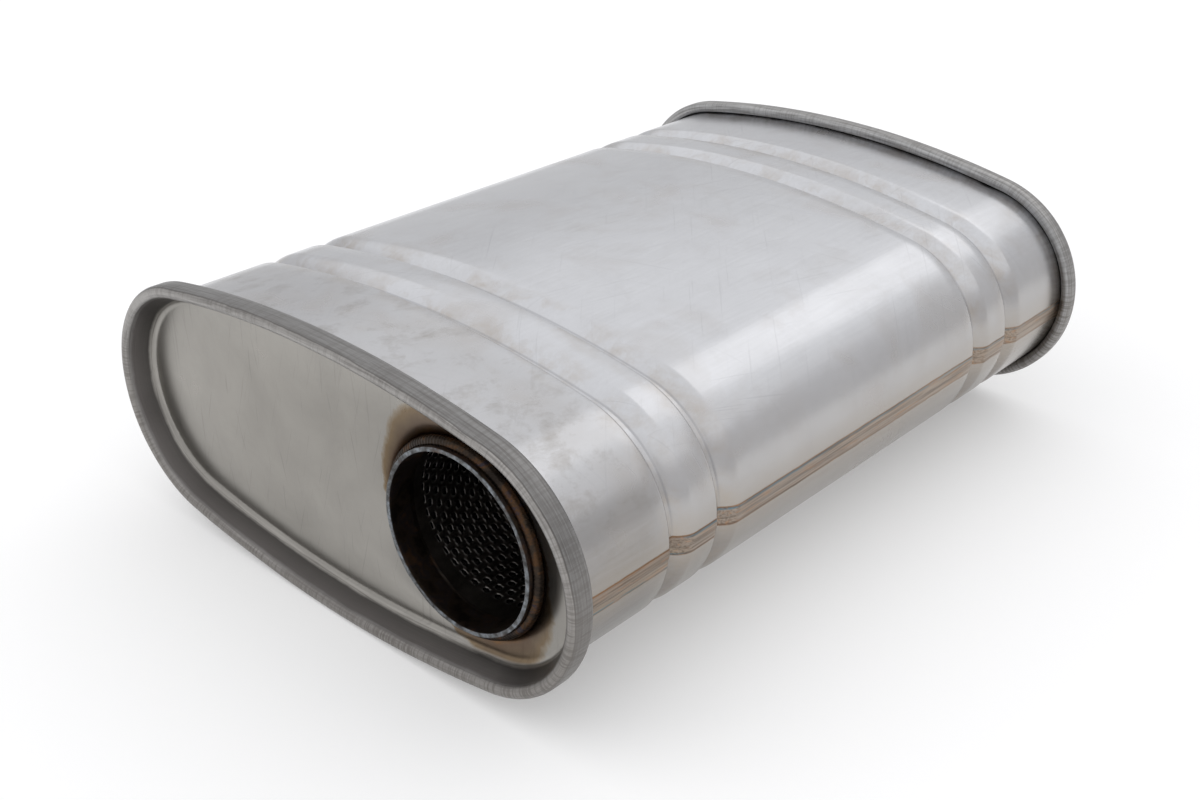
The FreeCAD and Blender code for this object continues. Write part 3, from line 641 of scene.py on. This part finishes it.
def cap_points(rim_width):
    """The cap's section: panel, fillet, leaning wall, rounded nose, and the fold behind."""
    fillet = (-0.0058, RECESS - FILLET_ROUND)
    nose = (RIM_HEIGHT - NOSE_ROUND, NOSE_ROUND)
    fold = (RIM_HEIGHT - FOLD_ROUND, rim_width - FOLD_ROUND)
    return (
        [(PANEL_EDGE, RECESS)]
        + bow(fillet, FILLET_ROUND, 90, WALL_LEAN, 8)
        + bow(nose, NOSE_ROUND, 180 + WALL_LEAN, 360, 18)
        + [(RIM_HEIGHT, (nose[1] + fold[1]) / 2)]
        + bow(fold, FOLD_ROUND, 0, 155, 16)
        + bow(fold, FOLD_ROUND - CAP_SHEET, 155, 0, 8)
        + bow(nose, NOSE_ROUND - CAP_SHEET, 360, 180 + WALL_LEAN, 8)
        + bow(fillet, FILLET_ROUND + CAP_SHEET, WALL_LEAN, 90, 6)
        + [(PANEL_EDGE, RECESS + CAP_SHEET)]
    )


pressing = geometry_tree("Pressed cap", [
    ("Section", "NodeSocketObject", None),
    ("Columns", "NodeSocketInt", CAP_COLUMNS),
    ("Ripple Height", "NodeSocketFloat", 0.0001),
    ("Ripple Scale", "NodeSocketFloat", 14.0),
    ("Hole Place", "NodeSocketVector", (INLET_OFFSET, 0, FLOOR_LIFT)),
    ("Hole Radius", "NodeSocketFloat", NECK_OUTER + 0.0001),
    ("Panel Face", "NodeSocketFloat", RECESS - LENGTH / 2),
    ("Panel Back", "NodeSocketFloat", RECESS + CAP_SHEET - LENGTH / 2),
    ("Metal", "NodeSocketMaterial", None),
])
given = put(pressing, "NodeGroupInput").outputs


def open_edges():
    """The edges that only one face touches."""
    faces = put(pressing, "GeometryNodeInputMeshEdgeNeighbors").outputs[0]
    return calc("COMPARE", faces, 1.0, 0.1)


rim = put(pressing, "GeometryNodeGroup", {
    "Section": given["Section"], "Columns": given["Columns"],
    "Ripple Height": given["Ripple Height"], "Ripple Scale": given["Ripple Scale"]},
    node_tree=wrap)
here = put(pressing, "GeometryNodeInputPosition").outputs[0]
apart = axes(here)
hole = axes(given["Hole Place"])
spoke = vectors("SUBTRACT", here, point(hole["X"], apart["Y"], hole["Z"]))
aim = put(pressing, "ShaderNodeVectorMath", {0: spoke}, operation="NORMALIZE").outputs[0]
hole_rim = scaled(aim, given["Hole Radius"])
inwards = vectors("SUBTRACT", hole_rim, spoke)
at_face = calc("COMPARE", apart["Y"], given["Panel Face"], 0.0006)
true_face = plus(
    times(at_face, given["Panel Face"]), times(minus(1.0, at_face), given["Panel Back"]))
levelled = vectors("ADD", inwards, point(y=minus(true_face, apart["Y"])))
panel = put(pressing, "GeometryNodeExtrudeMesh", {
    "Mesh": rim.outputs[0], "Selection": open_edges(), "Offset": levelled, "Offset Scale": 1.0},
    mode="EDGES")
still_open = times(open_edges(), at_face)
through = point(y=minus(given["Panel Back"], given["Panel Face"]))
holed = put(pressing, "GeometryNodeExtrudeMesh", {
    "Mesh": panel.outputs[0], "Selection": still_open, "Offset": through,
    "Offset Scale": 1.0}, mode="EDGES")
joined = put(pressing, "GeometryNodeMergeByDistance", {
    "Geometry": holed.outputs[0], "Distance": 0.00003})
close_tree(pressing, joined.outputs[0], given["Metal"])


def cap_finish(neck_x, rim_width, band_shaded_tone, back_shaded_tone):
    """The cap's finish, with the heat halo around its own neck and painted light and shade across
    the rim.
    """
    wall_start = 0.0042
    nose_start = 0.0138
    band_start = nose_start + NOSE_ROUND * math.radians(180 - WALL_LEAN)
    fold_start = band_start + rim_width - NOSE_ROUND - FOLD_ROUND
    fold_end = fold_start + FOLD_ROUND * math.radians(155)

    def build(tree, vector, colour, rough):
        cloud, scratch, _ = marked_on(vector, 22.0, 1.3, 0.6)
        base = blend(fade(cloud, 0.35, 0.7), colour, dimmed(colour, 0.86))
        base = blend(times(scratch, 0.3), base, (0.2, 0.19, 0.18))
        rolled = put(tree, "ShaderNodeAttribute", attribute_name="rolled").outputs["Vector"]
        level = put(tree, "ShaderNodeAttribute", attribute_name="across").outputs["Fac"]
        place = axes(vector)
        wander = noise(rolled, 45.0, 4.0, 0.6)
        uneven = times_plus(minus(wander, 0.5), 0.0022, level)
        # Painted light and shade across the rim's section: the inner wall is painted dark as its
        # shade, and a dark line is painted where the nose turns into the outer band. The band and
        # the fold's back get tones per cap that paint how each rim is lit. The fold's tail is
        # painted black as the shadow line where it meets the shell.
        tones = (
            (0.0, colour), (wall_start, colour),
            (wall_start + 0.0012, (0.075, 0.070, 0.065)),
            (nose_start - 0.0015, (0.12, 0.11, 0.105)),
            (nose_start + 0.0012, (0.36, 0.35, 0.34)),
            (band_start - 0.0024, (0.38, 0.365, 0.35)),
            (band_start - 0.0020, (0.13, 0.125, 0.12)),
            (band_start - 0.0015, (band_shaded_tone * 1.02, band_shaded_tone, band_shaded_tone * 0.98)),
            (fold_start + 0.001, (band_shaded_tone * 1.1, band_shaded_tone * 1.08, band_shaded_tone * 1.06)),
            (fold_start + 0.003, grey(back_shaded_tone)), (fold_end - 0.0010, grey(back_shaded_tone)),
            (fold_end - 0.0003, grey(0.008)))
        rim_tone = ramp(over(uneven, fold_end), [
            (distance / fold_end, tone) for distance, tone in tones])
        strip = vectors("ADD", rolled, point(z=level))
        streak = noise(stretch(strip, (28.0, 28.0, 900.0)), 1.0, 4.0, 0.7, 0.8)
        crimp = noise(stretch(strip, (950.0, 950.0, 70.0)), 1.0, 2.0, 0.5, 0.3)
        patch = noise(rolled, 26.0, 3.0, 0.6)
        lower = put(tree, "ShaderNodeMapRange", {
            "Value": place["Z"], "From Min": FLOOR_LIFT + 0.035, "From Max": FLOOR_LIFT - 0.015,
            "To Min": 0.35, "To Max": 1.0}).outputs[0]
        rim_tone = blend(fade(streak, 0.32, 0.58, 0.65, 0), rim_tone, (0.10, 0.093, 0.088))
        crimped = times(times(lower, fade(crimp, 0.46, 0.58)), fade(patch, 0.35, 0.55, 0.25, 0.75))
        on_nose = between(level, nose_start - 0.0005, nose_start + 0.001)
        crimped = times(crimped, on_nose)
        rim_tone = blend(crimped, rim_tone, (0.13, 0.12, 0.112))
        # Painted shade: the nose is darkened towards the bottom.
        nose_low_shade = times(between(place["Z"], FLOOR_LIFT + 0.030, FLOOR_LIFT - 0.010), 0.5)
        rim_tone = blend(times(nose_low_shade, on_nose), rim_tone, (0.20, 0.185, 0.17))
        panel_level = LENGTH / 2 - RECESS
        on_rim = between(calc("ABSOLUTE", place["Y"]), panel_level + 0.0005, panel_level + 0.0015)
        base = blend(on_rim, base, rim_tone)
        side = minus(place["X"], neck_x)
        rise = minus(place["Z"], FLOOR_LIFT)
        reach = put(tree, "ShaderNodeVectorMath", {0: point(side, rise)},
                    operation="LENGTH").outputs["Value"]
        slant = calc("ABSOLUTE", over(minus(times(rise, 0.8), times(side, 0.6)), reach))
        width = times_plus(calc("POWER", slant, 4.0), 0.0135, 0.0035)
        drift = noise(vector, 75.0, 5.0, 0.6)
        reach = times_plus(minus(drift, 0.5), 0.010, reach)
        far = over(minus(reach, NECK_OUTER + 0.001), width)
        tint = ramp(far, [
            (0.0, (0.44, 0.31, 0.22)), (0.16, (0.56, 0.32, 0.16)), (0.32, (0.40, 0.29, 0.22)),
            (0.56, (0.50, 0.39, 0.29)), (0.78, (0.62, 0.48, 0.33)), (0.92, (0.86, 0.78, 0.68)),
            (1.0, (1.0, 1.0, 1.0))])
        on_panel = minus(1.0, on_rim)
        base = blend(on_panel, base, blend(1.0, base, tint, "MULTIPLY"))
        gloss = plus(times(minus(cloud, 0.5), 0.16), times_plus(on_rim, 0.10, rough))
        ridges = times(on_rim, times_plus(streak, 0.5, times(times(crimp, on_nose), 1.2)))
        return base, gloss, ridges, 0.00012
    return build


def make_cap(name, node, section, finish, neck_x, face, back):
    steel = surface(name + "_steel", (0.345, 0.33, 0.305), 0.3, finish)
    cap = grow(name, pressing, {
        "Section": section, "Columns": CAP_COLUMNS, "Ripple Height": 0.00018,
        "Ripple Scale": 22.0, "Hole Place": (neck_x, 0.0, FLOOR_LIFT),
        "Panel Face": face, "Panel Back": back, "Metal": steel})
    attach(cap, "root")
    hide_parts(node)


front_section = section_curve("front_cap_section", cap_points(FRONT_RIM_WIDTH), False)
rear_section = section_curve("rear_cap_section", [
    (out, LENGTH - along) for out, along in cap_points(REAR_RIM_WIDTH)], False)
front_face = RECESS - LENGTH / 2
make_cap("front_cap_pressing", "front_cap", front_section,
         cap_finish(INLET_OFFSET, FRONT_RIM_WIDTH, 0.235, 0.12), INLET_OFFSET,
         front_face, front_face + CAP_SHEET)
make_cap("rear_cap_pressing", "rear_cap", rear_section,
         cap_finish(0.0, REAR_RIM_WIDTH, 0.36, 0.45), 0.0,
         -front_face, -front_face - CAP_SHEET)


# Necks: short lengths of 80.6 mm tube, saw-cut, standing in each cap. The
# weld's heat turned them brown, purple and blue near the panel.
NECK_BORE = 0.0383
NECK_SETBACK = 0.0071
NECK_LENGTH = 0.013
NECK_EDGE = 0.0003
TURN_RADIUS = 0.04

turning = geometry_tree("Section turned about Y", [
    ("Section", "NodeSocketObject", None),
    ("Columns", "NodeSocketInt", 160),
    ("Place", "NodeSocketVector", (INLET_OFFSET, 0, FLOOR_LIFT)),
    ("Rough Height", "NodeSocketFloat", 0.0001),
    ("Rough Scale", "NodeSocketFloat", 300.0),
    ("Ripples", "NodeSocketFloat", 0.0),
    ("Ripple Depth", "NodeSocketFloat", 0.0),
    ("Metal", "NodeSocketMaterial", None),
])
given = put(turning, "NodeGroupInput").outputs
circle = put(turning, "GeometryNodeCurvePrimitiveCircle", {
    "Resolution": given["Columns"], "Radius": TURN_RADIUS})
upright = put(turning, "GeometryNodeSetCurveNormal", {"Curve": circle.outputs[0]}, mode="Z_UP")
drawn = put(turning, "GeometryNodeObjectInfo", {"Object": given["Section"]})
swept = put(turning, "GeometryNodeCurveToMesh", {
    "Curve": upright.outputs[0], "Profile Curve": drawn.outputs["Geometry"]})
apart = axes(put(turning, "GeometryNodeInputPosition").outputs[0])
spin = calc("ARCTAN2", apart["Y"], apart["X"])
drift = put(turning, "ShaderNodeTexNoise", {"Scale": 90.0, "Detail": 1.0}).outputs[0]
ripples = over(given["Ripples"], math.tau)
wave = calc("FRACT", times_plus(spin, ripples, times(drift, 1.2)))
scallop = times(minus(calc("SQRT", wave), 0.7), given["Ripple Depth"])
grit = put(turning, "ShaderNodeTexNoise", {
    "Scale": given["Rough Scale"], "Detail": 2.0}).outputs[0]
heave = times_plus(minus(grit, 0.5), given["Rough Height"], scallop)
stood = put(turning, "GeometryNodeTransform", {
    "Geometry": pushed_out(swept.outputs[0], heave), "Rotation": (math.pi / 2, 0, 0),
    "Translation": given["Place"]})
close_tree(turning, stood.outputs[0], given["Metal"])


def make_round(name, node, sign, neck_x, points, inputs):
    """Turn a section of (radius, along) about the axis of a neck; sign is 1 at the rear."""
    section = section_curve(name + "_section", [
        (radius - TURN_RADIUS, along)
        for radius, along in (points if sign < 0 else mirror(points))], True)
    piece = grow(name, turning, {
        "Section": section, "Place": (neck_x, 0.0, FLOOR_LIFT), **inputs})
    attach(piece, "root")
    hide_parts(node)


def neck_points():
    tail = NECK_SETBACK + NECK_LENGTH
    wall = 0.002
    steps = [i / 6 for i in range(7)]
    bore = [(NECK_BORE, tail - (tail - NECK_SETBACK - NECK_EDGE) * s) for s in steps]
    lip = [(NECK_BORE + NECK_EDGE * 0.3, NECK_SETBACK + NECK_EDGE * 0.3)]
    cut = [(NECK_BORE + NECK_EDGE + (wall - 2 * NECK_EDGE) * s, NECK_SETBACK) for s in steps]
    outer_lip = [(NECK_OUTER - NECK_EDGE * 0.3, NECK_SETBACK + NECK_EDGE * 0.3)]
    skin = [(NECK_OUTER, NECK_SETBACK + NECK_EDGE + (tail - NECK_SETBACK - NECK_EDGE) * s)
            for s in steps]
    return bore + lip + cut + outer_lip + skin


def neck_finish(face_sign):
    def build(tree, vector, colour, rough):
        along = axes(vector)["Y"]
        depth = minus(LENGTH / 2 - NECK_SETBACK, times(along, face_sign))
        wander = noise(vector, 120.0, 3.0)
        warm = ramp(wander, [
            (0.36, (0.046, 0.036, 0.030)), (0.48, (0.095, 0.068, 0.050)),
            (0.56, (0.075, 0.060, 0.060)), (0.68, (0.15, 0.085, 0.050))])
        on_cut = between(times_plus(minus(wander, 0.5), 0.0012, depth), 0.0006, 0.0001)
        spark = noise(vector, 330.0, 3.0, 0.6)
        sawn = ramp(spark, [
            (0.36, grey(0.055)), (0.50, (0.13, 0.135, 0.14)), (0.70, (0.27, 0.30, 0.33))])
        base = blend(on_cut, warm, sawn)
        gloss = times_plus(wander, 0.2, rough)
        return base, gloss, spark, 0.00006
    return build


def make_neck(name, node, sign, neck_x):
    make_round(name, node, sign, neck_x, neck_points(), {
        "Columns": 200, "Rough Height": 0.0006, "Rough Scale": 190.0,
        "Metal": surface(name + "_steel", grey(0.1), 0.30, neck_finish(sign))})


make_neck("inlet_neck_tube", "inlet_neck", -1, INLET_OFFSET)
make_neck("outlet_neck_tube", "outlet_neck", 1, 0.0)


# Neck welds: one run of filler laid around each neck in overlapping puddles,
# left dark and scaled by the heat.
WELD_LEG = 0.0032
WELD_RIPPLES = 150.0


def weld_points():
    face = [(NECK_OUTER + WELD_LEG * math.cos(math.radians(a)) ** 0.85,
             RECESS - WELD_LEG * math.sin(math.radians(a)) ** 0.85) for a in range(0, 91, 9)]
    return [(NECK_OUTER, RECESS)] + face


def weld_finish(tree, vector, colour, rough):
    scale = noise(vector, 110.0, 4.0, 0.6, 0.4)
    base = ramp(scale, [
        (0.34, (0.024, 0.019, 0.016)), (0.48, (0.046, 0.034, 0.026)),
        (0.55, (0.085, 0.046, 0.024)), (0.61, (0.040, 0.034, 0.042)),
        (0.72, (0.060, 0.050, 0.044))])
    gloss = times_plus(scale, 0.3, rough)
    return base, gloss, noise(vector, 500.0, 2.0), 0.00006


weld_dark = surface("dark_weld_bead", grey(0.1), 0.3, weld_finish)


def make_weld(name, node, sign, neck_x):
    make_round(name, node, sign, neck_x, weld_points(), {
        "Columns": 900, "Rough Height": 0.0002, "Rough Scale": 200.0,
        "Ripples": WELD_RIPPLES, "Ripple Depth": 0.0003, "Metal": weld_dark})


make_weld("inlet_weld_bead", "inlet_weld", -1, INLET_OFFSET)
make_weld("outlet_weld_bead", "outlet_weld", 1, 0.0)


# Core: a tube rolled from punched sheet, with 3.2 mm holes in staggered rows.
# It leans from the inlet to the outlet, and both ends are bent to meet them.
CORE_INNER = 0.0404
CORE_WALL = 0.0012
CORE_SETBACK = 0.0204
CORE_STRAIGHT = 0.0037
CORE_BEND = 0.060
HOLE_RADIUS = 0.0016
HOLES_ROUND = 42
HOLE_ROWS = 62
PLAIN_END = 0.0106

reach = LENGTH / 2 - CORE_SETBACK - CORE_STRAIGHT
corner = reach
for _ in range(6):
    lean = math.atan(INLET_OFFSET / 2 / corner)
    corner = reach - CORE_BEND * math.tan(lean / 2)
core_data = bpy.data.curves.new("core_line", "CURVE")
core_data.dimensions = "3D"
core_spline = core_data.splines.new("POLY")
core_spline.points.add(3)
for knot, (x, y) in zip(core_spline.points, (
        (INLET_OFFSET, CORE_SETBACK - LENGTH / 2), (INLET_OFFSET, -corner),
        (0.0, corner), (0.0, LENGTH / 2 - CORE_SETBACK))):
    knot.co = (x, y, FLOOR_LIFT, 1)
core_line = add_object("core_line", core_data)

punched = geometry_tree("Punched tube along a line", [
    ("Line", "NodeSocketObject", None),
    ("Bend Radius", "NodeSocketFloat", CORE_BEND),
    ("Inner Radius", "NodeSocketFloat", CORE_INNER),
    ("Wall", "NodeSocketFloat", CORE_WALL),
    ("Hole Radius", "NodeSocketFloat", HOLE_RADIUS),
    ("Holes Round", "NodeSocketInt", HOLES_ROUND),
    ("Rows", "NodeSocketInt", HOLE_ROWS),
    ("Plain End", "NodeSocketFloat", PLAIN_END),
    ("Metal", "NodeSocketMaterial", None),
])
given = put(punched, "NodeGroupInput").outputs
drawn = put(punched, "GeometryNodeObjectInfo", {"Object": given["Line"]})
bent = put(punched, "GeometryNodeFilletCurve", {
    "Curve": drawn.outputs["Geometry"], "Radius": given["Bend Radius"],
    "Count": 12, "Limit Radius": False}, mode="POLY")
whole = put(punched, "GeometryNodeCurveLength", {"Curve": bent.outputs[0]}).outputs[0]
girth = times(plus(given["Inner Radius"], given["Wall"]), math.tau)
pitch = over(girth, given["Holes Round"])
row_step = over(minus(whole, times(given["Plain End"], 2.0)), given["Rows"])


def cell(around, deep, place_x, place_y, lift):
    """A small patch of the tube's wall: a grid whose points are set by the given numbers."""
    patch = put(punched, "GeometryNodeMeshGrid", {
        "Vertices X": around, "Vertices Y": deep})
    return placed(patch.outputs["Mesh"], point(place_x, place_y, lift))


index = put(punched, "GeometryNodeInputIndex").outputs[0]
deep_index = calc("MODULO", index, 4.0)
around_index = calc("FLOOR", over(plus(index, 0.5), 4.0))
angle = times(around_index, math.tau / 8)
at_hole = calc("COMPARE", deep_index, 1.5, 0.6)
on_skin = calc("LESS_THAN", deep_index, 1.5)
bore_x = times(given["Hole Radius"], calc("COSINE", angle))
bore_y = times(given["Hole Radius"], calc("SINE", angle))
edge_x = times(times(pitch, 0.5), calc(
    "MAXIMUM", -1.0, calc("MINIMUM", 1.0, times(calc("COSINE", angle), 1.4143))))
edge_y = times(times(row_step, 0.5), calc(
    "MAXIMUM", -1.0, calc("MINIMUM", 1.0, times(calc("SINE", angle), 1.4143))))
away = minus(1.0, at_hole)
plain_cell = cell(
    9, 4, plus(times(at_hole, bore_x), times(away, edge_x)),
    plus(times(at_hole, bore_y), times(away, edge_y)), times(on_skin, given["Wall"]))
hole_cell = stored(plain_cell, "punched", at_hole)
spots = put(punched, "GeometryNodePoints", {"Count": times(given["Rows"], given["Holes Round"])})
spot = put(punched, "GeometryNodeInputIndex").outputs[0]
row = calc("FLOOR", over(plus(spot, 0.5), given["Holes Round"]))
column = minus(spot, times(row, given["Holes Round"]))
stagger = times(calc("MODULO", row, 2.0), 0.5)
laid = placed(spots.outputs[0], point(
    times(plus(column, stagger), pitch), times_plus(plus(row, 0.5), row_step, given["Plain End"])))
holes = put(punched, "GeometryNodeInstanceOnPoints", {"Points": laid, "Instance": hole_cell})


def plain_end(start, stop):
    """The unpunched end as a strip whose section is open at the first row of holes."""
    index = put(punched, "GeometryNodeInputIndex").outputs[0]
    step = calc("MODULO", index, 8.0)
    turn = calc("FLOOR", over(plus(index, 0.5), 8.0))
    skin = calc("LESS_THAN", step, 3.5)
    returning = times(minus(1.0, skin), minus(7.0, step))
    climb = over(plus(times(skin, step), returning), 3.0)
    along = times_plus(minus(stop, start), climb, start)
    strip = put(punched, "GeometryNodeMeshGrid", {
        "Vertices X": plus(times(given["Holes Round"], 2.0), 1.0), "Vertices Y": 8})
    return placed(strip.outputs["Mesh"], point(
        times(turn, times(pitch, 0.5)), along, times(skin, given["Wall"])))


sheet = put(punched, "GeometryNodeJoinGeometry")
punched.links.new(put(punched, "GeometryNodeRealizeInstances", {
    "Geometry": holes.outputs[0]}).outputs[0], sheet.inputs[0])
punched.links.new(plain_end(given["Plain End"], times(whole, 0.0)), sheet.inputs[0])
punched.links.new(plain_end(minus(whole, given["Plain End"]), whole), sheet.inputs[0])
flat = axes(put(punched, "GeometryNodeInputPosition").outputs[0])
follow = put(punched, "GeometryNodeSampleCurve", {
    "Curves": bent.outputs[0], "Length": flat["Y"]}, mode="LENGTH", use_all_curves=True)
sideways = vectors("CROSS_PRODUCT", follow.outputs["Tangent"], (0, 0, 1))
spin = over(flat["X"], plus(given["Inner Radius"], given["Wall"]))
ring = plus(given["Inner Radius"], flat["Z"])
out_side = scaled(sideways, times(ring, calc("COSINE", spin)))
out_up = point(z=times(ring, calc("SINE", spin)))
around = vectors("ADD", out_side, out_up)
seat = vectors("ADD", around, follow.outputs["Position"])
joined = put(punched, "GeometryNodeMergeByDistance", {
    "Geometry": placed(sheet.outputs[0], seat), "Distance": 0.00002})
close_tree(punched, joined.outputs[0], given["Metal"], False)


def core_finish(tree, vector, colour, rough):
    # Painted shade: the core's steel is painted very dark, in cloudy patches, as the shade inside
    # the muffler.
    dark_cloud = noise(vector, 60.0, 4.0, 0.6)
    plain = ramp(dark_cloud, [(0.3, (0.10, 0.085, 0.072)), (0.7, (0.19, 0.17, 0.155))])
    near = put(tree, "ShaderNodeAttribute", attribute_name="punched").outputs["Fac"]
    base = blend(fade(near, 0.50, 0.66), plain, (0.20, 0.19, 0.18))
    # Painted shade: the walls of the holes are painted near-black as the shade inside them.
    base = blend(fade(near, 0.93, 0.985), base, (0.006, 0.005, 0.005))
    drawn_in = ramp(near, [(0.45, grey(1)), (0.75, grey(0.7)), (1.0, grey(0))])
    return base, times_plus(dark_cloud, 0.15, rough), drawn_in, 0.0006


core = grow("punched_core", punched, {
    "Line": core_line, "Metal": surface("sooty_core_steel", (0.1, 0.1, 0.1), 0.3, core_finish)})
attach(core, "root")
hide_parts("perforated_core")


# Inner pieces that stay as they were made: the welds at the core's ends, the
# flanged baffles, the steel wool next to the core, and the glass fibre.
def dress(node, finish):
    """Give a kept piece its finish."""
    kept = frame["nodes"][node]
    kept.data.materials.clear()
    kept.data.materials.append(finish)


def baffle_finish(tree, vector, colour, rough):
    cloud, _, grain = marked_on(vector, 20.0, 1.0, 1.0)
    base = blend(cloud, colour, dimmed(colour, 0.7))
    return base, times_plus(cloud, 0.2, rough), grain, 0.00005


def wool_finish(tree, vector, colour, rough):
    strands = noise(stretch(vector, (500.0, 90.0, 500.0)), 1.0, 5.0, 0.7, 1.5)
    base = blend(strands, (0.02, 0.02, 0.02), colour)
    return base, times_plus(strands, 0.2, rough), strands, 0.0008


def fibre_finish(tree, vector, colour, rough):
    strands = noise(stretch(vector, (60.0, 500.0, 60.0)), 1.0, 5.0, 0.7, 1.0)
    shade = ramp(strands, [(0.3, (0.55, 0.52, 0.45)), (0.7, colour)])
    return shade, times_plus(strands, 0.2, rough), strands, 0.001


plain_steel = surface("plain_baffle_steel", (0.42, 0.41, 0.39), 0.35, baffle_finish)
wool_steel = surface("steel_wool", (0.12, 0.11, 0.10), 0.45, wool_finish)
packing_fibre = surface("glass_fibre_packing", (0.86, 0.84, 0.78), 0.7, fibre_finish, 0.0)
for node in ("inlet_core_weld", "outlet_core_weld"):
    dress(node, weld_dark)
for node in ("front_baffle", "rear_baffle"):
    dress(node, plain_steel)
for node in ("front_wool", "middle_wool", "rear_wool"):
    dress(node, wool_steel)
for node in ("front_packing", "middle_packing", "rear_packing"):
    dress(node, packing_fibre)


# Studio: a white floor in a pale room, a wide white ceiling, a soft box beside
# the camera, and a card behind that draws the sheen along the shoulder.
CEILING_HEIGHT = 2.3
CEILING_SIDE = 8.0
CEILING_POWER = 66.0
SOFT_BOX_PLACE = (-2.0, -1.9, 2.1)
SOFT_BOX_SIDE = 3.0
SOFT_BOX_POWER = 17.0
BACK_CARD_PLACE = (0.09, 1.8, 1.84)
BACK_CARD_SIDE = 1.35
BACK_CARD_POWER = 2.2


def soft_box(name, place, aim, side, power, tint):
    lamp = bpy.data.lights.new(name, "AREA")
    lamp.size = side
    lamp.energy = power
    lamp.color = tint
    stand = add_object(name, lamp)
    stand.location = place
    line = Vector(aim) - Vector(place)
    stand.rotation_euler = line.to_track_quat("-Z", "Y").to_euler()
    stand.visible_camera = False
    return stand


soft_box("ceiling", (0, 0, CEILING_HEIGHT), (0, 0, 0), CEILING_SIDE, CEILING_POWER,
         (0.975, 0.985, 1.0))
fill = soft_box("soft_box", SOFT_BOX_PLACE, (0, 0, FLOOR_LIFT), SOFT_BOX_SIDE, SOFT_BOX_POWER,
                (1.0, 0.99, 0.97))
fill.visible_glossy = False
soft_box("back_card", BACK_CARD_PLACE, (0, 0, FLOOR_LIFT), BACK_CARD_SIDE, BACK_CARD_POWER,
         (1.0, 0.985, 0.97))

floor_mesh = bpy.data.meshes.new("floor")
floor_mesh.from_pydata([(-6, -6, 0), (6, -6, 0), (6, 6, 0), (-6, 6, 0)], [], [(0, 1, 2, 3)])
floor = add_object("floor", floor_mesh)
paper = bpy.data.materials.new("white_floor")
paper.use_nodes = True
tree = paper.node_tree
tree.nodes.clear()
matt = put(tree, "ShaderNodeBsdfDiffuse", {"Color": grey(0.75)})
seen = put(tree, "ShaderNodeLightPath").outputs
shown = plus(seen["Is Camera Ray"], plus(seen["Is Glossy Ray"], seen["Is Transmission Ray"]))
glow = put(tree, "ShaderNodeEmission", {"Strength": times(calc("MINIMUM", shown, 1.0), 0.25)})
both = put(tree, "ShaderNodeAddShader", {0: matt.outputs[0], 1: glow.outputs[0]})
put(tree, "ShaderNodeOutputMaterial", {"Surface": both.outputs[0]})
floor_mesh.materials.append(paper)

room = bpy.data.worlds.new("pale_room")
bpy.context.scene.world = room
room.use_nodes = True
air = room.node_tree.nodes["Background"].inputs
air["Color"].default_value = (0.74, 0.74, 0.75, 1.0)
air["Strength"].default_value = 1.0

lens = bpy.data.cameras.new("camera")
lens.sensor_width = 36.0
lens.lens = 44.88
lens.clip_start = 0.01
camera = add_object("camera", lens)
camera.location = (0.43884, -0.51022, 0.38936)
camera.rotation_euler = tuple(math.radians(a) for a in (61.7975, -0.7539, 42.1333))
bpy.context.scene.camera = camera
bpy.context.scene.view_settings.view_transform = "Standard"

for helper in [o for o in bpy.data.objects if o.name.endswith("_section")] + [core_line]:
    bpy.data.objects.remove(helper)
